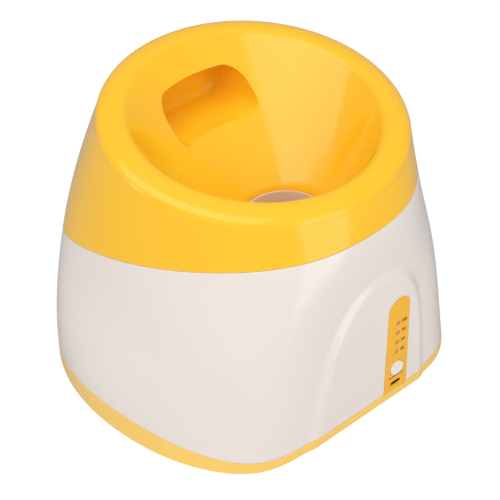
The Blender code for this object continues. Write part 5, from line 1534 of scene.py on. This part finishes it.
@dataclass
class LaunchLine:
    """Launch line on one tilted axis: bezel, barrel, chute, hubs, tyres and motors."""

    form: BodyForm
    tilt: float = 10.0
    mouth_height: float = 0.0530
    mouth_proud: float = 0.00028
    bore: float = 0.0270
    barrel_wall: float = 0.0020
    barrel_setback: float = 0.0998
    wheel_setback: float = 0.0550
    ball_radius: float = 0.0250
    flange_radius: float = 0.0345
    flange_depth: float = 0.0035
    lip: float = 0.0020
    edge: float = 0.0010
    sleeve_wall: float = 0.0018
    sleeve_length: float = 0.0120
    tyre_radius: float = 0.0310
    tyre_squeeze: float = 0.0020
    tyre_width: float = 0.0200
    tyre_thickness: float = 0.0050
    tyre_crown: float = 0.0012
    groove_depth: float = 0.0006
    groove_width: float = 0.0012
    hub_boss_wall: float = 0.0030
    hub_web: float = 0.0024
    hub_hole: float = 0.0042
    hub_holes: int = 6
    hub_edge: float = 0.0003
    rim_wall: float = 0.0020
    shaft_radius: float = 0.0015
    shaft_depth: float = 0.0120
    motor_radius: float = 0.0170
    motor_length: float = 0.0440
    band_shares: tuple[float, ...] = (0.70, 0.71, 0.73, 0.74)
    boss_radius: float = 0.0050
    boss_height: float = 0.0020
    deck_top: float = 0.0169
    throat_radius: float = HopperCap.throat_radius
    throat_offset: float = HopperCap.throat_offset
    throat_height: float = HopperCap.throat_height
    chute_drop: float = 0.0014
    chute_wall: float = 0.0022
    elbow_height: float = 0.0500
    elbow_bend: float = 0.0360
    feed_back: float = 0.0770
    feed_height: float = 0.0900
    feed_slot_radius: float = 0.0325
    feed_slot_half: float = 0.0205

    def __post_init__(self) -> None:
        """Work out the axes and the place of the mouth."""
        turn = math.radians(self.tilt)
        self.side = Vector((1.0, 0.0, 0.0))
        self.launch = Vector((0.0, -math.cos(turn), math.sin(turn)))
        self.lift = Vector((0.0, math.sin(turn), math.cos(turn)))
        wall = self.form.wall(np.array([math.pi]), np.array([self.mouth_height]))[0]
        self.mouth = Vector((0.0, float(wall[1]) - self.mouth_proud, self.mouth_height))
        self.bezel_bore = self.bore + self.barrel_wall + GAP

    def point(self, setback: float) -> Vector:
        """Point on the launch axis behind the mouth."""
        return self.mouth - self.launch * setback

    def place(self) -> Matrix:
        """Frame on the launch axis, Z out of the mouth."""
        return rigid(self.mouth, self.side, self.lift, self.launch)

    def wheel_place(self, side: int) -> Matrix:
        """Frame on the axis of one flywheel, or midway for side 0, Z along the axis."""
        across = self.side * side * (self.tyre_radius + self.ball_radius - self.tyre_squeeze)
        return rigid(self.point(self.wheel_setback) + across, self.side, -self.launch, self.lift)

    def deck_place(self, across: float, along: float) -> Matrix:
        """Frame on the deck's top, Z out of it."""
        return self.wheel_place(0) @ Matrix.Translation((across, along, self.deck_top + GAP))

    def spokes(self, steps: int, up: Vector) -> Array:
        """Unit vectors round an axis, from the side axis towards a given one."""
        turns = circle(steps)
        return np.outer(np.cos(turns), np.array(self.side)) + np.outer(np.sin(turns), np.array(up))

    def build(self) -> None:
        """Build and dress the whole line."""
        self._bezel()
        self._barrel()
        self._chute()
        for side, name in ((1, "right"), (-1, "left")):
            self._hub(side, name)
            self._tyre(side, name)
            self._motor(side, name)

    def _bezel(self) -> None:
        """Round bezel of the mouth with its sleeve behind the wall."""
        wide, front, edge = self.flange_radius, self.flange_depth, self.edge
        lip = front - self.lip
        profile = [(self.bezel_bore, -self.sleeve_length / 2), (wide, -self.sleeve_length / 2)]
        profile += arc(wide - edge, front - edge, edge, (0, 1), 8)
        profile += arc(self.bore + edge, front - edge, edge, (1, 2), 8)
        bezel = Workbench.turned("mouth_ring_skin", [*profile, (self.bore, lip), (self.bezel_bore, lip)], 160)
        Workbench.put(bezel, self.place())
        angle = np.radians(np.arange(0.0, 360.0, 1.5))
        heights = np.linspace(Workbench.LOWEST_SKIN, self.mouth_height + 2 * wide, 40)
        skin = [self.form.wall(angle, np.full(angle.shape, height), -GAP) for height in heights]
        Workbench.combine(bezel, Workbench.stack("skin", np.array(skin)))
        bore, top, low = self.bezel_bore, lip - GAP / 2, -self.sleeve_length
        outer = bore + self.sleeve_wall
        sleeve = Workbench.turned("sleeve", [(bore, low), (outer, low), (outer, top), (bore, top)], 160)
        Workbench.combine(bezel, Workbench.put(sleeve, self.place()), "UNION", "EXACT")
        Workbench.finish(bezel, CAP_YELLOW, "yellow_gloss", ["mouth_ring"])

    def _barrel(self) -> None:
        """Barrel with a window on each side for the tyres."""
        spokes = self.spokes(128, self.lift)
        launch, back = np.array(self.launch), np.array(self.point(self.barrel_setback))
        front = np.array(self.mouth + self.launch * (self.flange_depth - self.lip - GAP))
        outer, bevel = self.bore + self.barrel_wall, self.barrel_wall / 4
        rows = []
        for radius in (self.bore, outer):
            ring = back + spokes * radius
            rows.append(ring + launch * ((back[1] - ring[:, 1]) / launch[1])[:, None])
        ends = ((outer, bevel), (outer - bevel, 0.0), (self.bore + bevel, 0.0), (self.bore, bevel))
        rows += [front + spokes * radius - launch * setback for radius, setback in ends]
        barrel = Workbench.ring("launch_barrel_skin", np.array(rows))
        half, radius = self.tyre_width / 2 + self.tyre_squeeze, self.tyre_radius + self.tyre_squeeze
        for hand in (1, -1):
            tool = Workbench.rod("window", radius, -half, half, 128)
            Workbench.combine(barrel, Workbench.put(tool, self.wheel_place(hand)))
        # The barrel's pale finish carries painted warm bounce light as well as its own off-white.
        Workbench.finish(barrel, INNER_PALE_AND_BOUNCE, "pale_inner", ["launch_barrel"])

    def _chute(self) -> None:
        """Curved tube from the throat to the barrel, with a slot for the feed wheel."""
        wide = self.throat_radius - GAP
        outer = self._chute_rings(wide, self.bore + self.barrel_wall)
        inner = self._chute_rings(wide - self.chute_wall, self.bore)
        drop = np.array([0.0, 0.0, self.chute_wall])
        crest = []
        for turn in np.linspace(0.0, QUARTER, 8)[1:]:
            crest.append(inner[0] - drop + (outer[0] - inner[0]) * math.cos(turn) + drop * math.sin(turn))
        rows = [outer[0] - drop, *crest, inner[0] - drop * 2.0, *inner[1:], *outer[:0:-1]]
        chute = Workbench.ring("feed_chute_skin", np.array(rows))
        tool = Workbench.rod("slot", self.feed_slot_radius, -self.feed_slot_half, self.feed_slot_half)
        origin = Vector((0.0, self.feed_back + self.form.offset_y, self.feed_height))
        place = rigid(origin, Vector((0.0, 1.0, 0.0)), Vector((0.0, 0.0, 1.0)), self.side)
        Workbench.combine(chute, Workbench.put(tool, place))
        # The chute's pale finish carries painted warm bounce light as well as its own off-white.
        Workbench.finish(chute, INNER_PALE_AND_BOUNCE, "pale_inner", ["feed_chute"])

    def _chute_rings(self, wide: float, narrow: float) -> list[Array]:
        """Rings of one wall of the chute, from the throat to the barrel.

        Args:
            wide: Radius as far as the elbow's end.
            narrow: Radius where it meets the barrel.

        Returns:
            One array of places for each ring.
        """
        end = self.point(self.barrel_setback)
        centre_y = self.throat_offset + self.form.offset_y
        corner = Vector((0.0, centre_y, self.elbow_height))
        down = Vector((0.0, 0.0, -1.0))
        run = (end - corner).normalized()
        bend = down.angle(run)
        start = corner - down * self.elbow_bend * math.tan(bend / 2)
        inside = start + (run - down * run.dot(down)).normalized() * self.elbow_bend
        path = [(Vector((0.0, centre_y, self.throat_height - self.chute_drop)), down)]
        out = (start - inside).normalized()
        for share in np.linspace(0.0, 1.0, 25):
            turn = bend * float(share)
            here = inside + (out * math.cos(turn) + down * math.sin(turn)) * self.elbow_bend
            path.append((here, down * math.cos(turn) - out * math.sin(turn)))
        rings = [np.array(here) + self.spokes(128, way.cross(self.side)) * wide for here, way in path]
        last = np.array(end) + self.spokes(128, run.cross(self.side)) * narrow
        reach = (end.y + GAP - last[:, 1]) / run.y
        return [*rings, last + np.array(run) * reach[:, None]]

    def _hub(self, side: int, name: str) -> None:
        """Nylon hub with a web and round holes.

        Args:
            side: 1 for right, -1 for left.
            name: Name of the side.
        """
        half, web = self.tyre_width / 2, self.hub_web / 2
        bore = self.shaft_radius + GAP
        rim = self.tyre_radius - self.tyre_thickness - GAP
        boss, hollow = bore + self.hub_boss_wall, rim - self.rim_wall
        lower = [(bore, half), (boss, half), (boss, web), (hollow, web), (hollow, half), (rim, half)]
        profile = [(radius, -rise) for radius, rise in lower] + lower[::-1]
        hub = Workbench.turned(f"flywheel_{name}_skin", profile)
        middle = Matrix.Translation(((boss + hollow) / 2, 0.0, 0.0))
        turns = [FULL * hole / self.hub_holes for hole in range(self.hub_holes)]
        places = [Matrix.Rotation(turn, 4, "Z") @ middle for turn in turns]
        sample = Workbench.rod("hole_sample", self.hub_hole, -half, half, 32)
        holes = CopyTree(f"holes_of_hub_{name}").copies("holes", sample, places, NYLON)
        Workbench.combine(hub, holes)
        Workbench.soften(hub, self.hub_edge, 2, 50.0)
        Workbench.put(hub, self.wheel_place(side))
        Workbench.finish(hub, NYLON, "white_nylon", [f"flywheel_{name}"], f"flywheel_{name}_body")

    def _tyre(self, side: int, name: str) -> None:
        """Rubber tyre with a crowned tread and three grooves.

        Args:
            side: 1 for right, -1 for left.
            name: Name of the side.
        """
        half, crown = self.tyre_width / 2, self.tyre_crown
        inner, outer = self.tyre_radius - self.tyre_thickness, self.tyre_radius
        shoulder = half - 2.0 * crown
        profile = [(inner, -half), (outer - crown, -half), (outer, -shoulder)]
        width, depth = self.groove_width / 2, self.groove_depth
        for middle in (-shoulder / 2, 0.0, shoulder / 2):
            profile += [(outer, middle - width), (outer - depth, middle - width / 2)]
            profile += [(outer - depth, middle + width / 2), (outer, middle + width)]
        profile += [(outer, shoulder), (outer - crown, half), (inner, half)]
        tyre = Workbench.put(Workbench.turned(f"tyre_{name}_skin", profile, 144), self.wheel_place(side))
        Workbench.finish(tyre, RUBBER, "rubber", [f"tyre_{name}"], f"flywheel_{name}_body")

    def _motor(self, side: int, name: str) -> None:
        """Motor can with rounded edges and a pressed band.

        Args:
            side: 1 for right, -1 for left.
            name: Name of the side.
        """
        radius, long, boss, rise = self.motor_radius, self.motor_length, self.boss_radius, self.boss_height
        bore, edge = self.shaft_radius + GAP, self.boss_height / 2
        profile = [(0.0, self.shaft_depth), (bore, self.shaft_depth)]
        profile += [(bore, -rise), (boss, -rise), (boss, 0.0)]
        profile += arc(radius - edge, edge, edge, (-1, 0), 6)
        groove = (radius, radius - edge / 2, radius - edge / 2, radius)
        profile += [(wide, long * share) for wide, share in zip(groove, self.band_shares)]
        profile += arc(radius - edge, long - edge, edge, (0, 1), 6)
        profile += [(boss, long), (boss, long + edge), (0.0, long + edge)]
        seat = self.deck_top + GAP
        motor = Workbench.turned(f"launch_motor_{name}_skin", [(r, z + seat) for r, z in profile])
        Workbench.put(motor, self.wheel_place(side))
        Workbench.finish(motor, MOTOR_STEEL, "motor_can", [f"launch_motor_{name}"])


@dataclass(frozen=True)
class Softbox:
    """One soft light, aimed at the launcher.

    Bearing runs from +Y towards +X, rise upwards and roll round the aim, in degrees. Brightness is its
    radiance.
    """

    name: str
    bearing: float
    rise: float
    distance: float
    width: float
    height: float
    brightness: float
    task: LightTask = LightTask.BOTH
    roll: float = 0.0


@dataclass
class Studio:
    """Pale floor, soft lights and the camera of the photograph."""

    offset_y: float
    azimuth: float = 139.667
    elevation: float = 41.440
    distance: float = 0.97010
    focal_pixels: float = 1324.19
    centre_pixels: tuple[float, float] = (255.31, 242.02)
    picture_pixels: float = 500.0
    sensor_width: float = 36.0
    nearest: float = 0.05
    target: tuple[float, float, float] = (0.0, 0.0, 0.090)
    ambient: float = 0.36
    floor_height: float = -0.0002
    floor_half: float = 6.0
    floor_grey: float = 0.30
    floor_glow: float = 0.78
    softboxes: tuple[Softbox, ...] = (
        Softbox("key_softbox", 62.0, 46.0, 1.4, 1.7, 0.62, 1.7, LightTask.LIGHTING),
        Softbox("rear_softbox", -8.0, 36.0, 1.4, 0.70, 1.0, 1.75, LightTask.LIGHTING),
        Softbox("funnel_card", 92.9, 58.0, 1.51, 2.14, 0.92, 1.35, LightTask.SHINE, 20.0),
        Softbox("skirt_card", -5.0, 4.0, 1.4, 0.85, 1.70, 1.25, LightTask.SHINE),
        Softbox("fill_softbox", 50.0, 16.0, 1.8, 1.4, 0.6, 0.5),
        Softbox("side_softbox", 118.0, 22.0, 1.7, 0.35, 1.1, 1.6, LightTask.LIGHTING),
        Softbox("side_card", 118.0, 4.0, 1.7, 0.35, 0.9, 1.4, LightTask.SHINE),
        Softbox("top_softbox", 0.0, 90.0, 1.4, 1.6, 1.6, 1.34, LightTask.LIGHTING),
        Softbox("top_card", 0.0, 90.0, 1.4, 1.6, 1.6, 0.55, LightTask.SHINE),
    )

    @staticmethod
    def outwards(bearing: float, rise: float) -> Vector:
        """Unit vector away from the launcher, at a bearing and a rise in degrees."""
        b, r = math.radians(bearing), math.radians(rise)
        return Vector((math.sin(b) * math.cos(r), math.cos(b) * math.cos(r), math.sin(r)))

    @staticmethod
    def aim(piece: Piece, middle: Vector, out: Vector, distance: float, roll: float = 0.0) -> None:
        """Set a light or camera at a distance from a point that it faces.

        Args:
            piece: Light or camera.
            middle: Point that it faces.
            out: Unit vector from that point to it.
            distance: How far it stands off.
            roll: Turn about its aim, in degrees.
        """
        piece.location = middle + out * distance
        piece.rotation_mode = "QUATERNION"
        turn = Quaternion((0.0, 0.0, 1.0), math.radians(roll))
        piece.rotation_quaternion = (-out).to_track_quat("-Z", "Y") @ turn

    def camera(self) -> None:
        """Make the scene's camera."""
        size, half = self.picture_pixels, self.picture_pixels / 2
        data = bpy.data.cameras.new("camera")
        data.sensor_width = self.sensor_width
        data.lens = self.focal_pixels / size * self.sensor_width
        data.shift_x = (half - self.centre_pixels[0]) / size
        data.shift_y = (self.centre_pixels[1] - half) / size
        data.clip_start = self.nearest
        camera = Workbench.linked("camera", data)
        middle = Vector(self.target) + Vector((0.0, self.offset_y, 0.0))
        self.aim(camera, middle, self.outwards(180.0 - self.azimuth, self.elevation), self.distance)
        bpy.context.scene.camera = camera

    def softbox(self, box: Softbox) -> None:
        """Hang one rectangular soft light that faces the launcher.

        Args:
            box: The light's bearing, size and brightness.
        """
        data = bpy.data.lights.new(box.name, "AREA")
        data.shape = "RECTANGLE"
        data.size, data.size_y = box.width, box.height
        data.energy = box.brightness * math.pi * box.width * box.height
        light = Workbench.linked(box.name, data)
        middle = Vector((0.0, self.offset_y, self.target[2]))
        self.aim(light, middle, self.outwards(box.bearing, box.rise), box.distance, box.roll)
        light.visible_camera = False
        light.visible_diffuse = box.task is not LightTask.SHINE
        light.visible_glossy = box.task is not LightTask.LIGHTING

    def build(self) -> None:
        """Set up floor, lights and camera."""
        self.camera()
        bpy.context.scene.view_settings.view_transform = "Standard"
        world = bpy.data.worlds.new("studio")
        bpy.context.scene.world = world
        world.use_nodes = True
        white = (1.0, 1.0, 1.0, 1.0)
        Wiring.fill(world.node_tree.nodes["Background"], {"Color": white, "Strength": self.ambient})
        for box in self.softboxes:
            self.softbox(box)
        mesh = bpy.data.meshes.new("floor")
        corners = [(x, y, self.floor_height) for x, y in rectangle(self.floor_half, self.floor_half)]
        mesh.from_pydata(corners, [], [(0, 1, 2, 3)])
        floor = Workbench.linked("floor", mesh)
        material = bpy.data.materials.new("floor_white")
        material.use_nodes = True
        grey = {"Base Color": (*[self.floor_grey] * 3, 1.0), "Roughness": 0.9, "Specular IOR Level": 0.1}
        glow = {"Emission Color": white, "Emission Strength": self.floor_glow}
        Wiring.fill(material.node_tree.nodes["Principled BSDF"], {**grey, **glow})
        mesh.materials.append(material)
        floor.visible_glossy = False


class Inside:
    """Finishes of the CAD nodes that stay as they are, by the start of their names."""

    FINISHES: dict[str, Finish] = {
        "motor_deck": GREY_PLASTIC,
        "motor_shaft": ZINC,
        "feed_wheel": GREY_PLASTIC,
        "feed_shaft": ZINC,
        "feed_gear": NYLON,
        "feed_pinion": NYLON,
        "feed_motor": MOTOR_STEEL,
        "feed_frame": GREY_PLASTIC,
        "panel_board": BOARD_GREEN,
        "tact_switch": BLACK_PLASTIC,
        "main_board": BOARD_GREEN,
        "battery_pack": CELL_FILM,
        "battery_strap": BLACK_PLASTIC,
    }

    def build(self) -> None:
        """Dress each of these nodes."""
        for node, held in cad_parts.items():
            for start, finish in self.FINISHES.items():
                if node.startswith(start):
                    held.data.materials.clear()
                    held.data.materials.append(finish.material())


def main() -> None:
    """Build every class in order and report each piece."""
    logging.basicConfig(level=logging.INFO, format="%(message)s")
    low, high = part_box("rubber_foot_1")
    offset = (low.y + high.y) / 2 - FOOT_SHARE * CAD_BASE_RADIUS
    form = BodyForm(offset_y=offset)
    cap = HopperCap(form)
    panel = ControlPanel(form)
    line = LaunchLine(form)
    steps: list[tuple[str, Callable[[], object]]] = [
        ("inner pieces that keep their CAD form", Inside().build),
        ("base tray", BaseTray(form).build),
        ("hopper cap", cap.build),
        ("body shell", BodyShell(form, panel, line, cap).build),
        ("control panel", panel.build),
        ("launch line", line.build),
        ("screws and feet", lambda: Fasteners().build(line)),
        ("studio", Studio(offset).build),
    ]
    for name, build in steps:
        build()
        log.info("built %s", name)


if __name__ == "__main__":
    main()
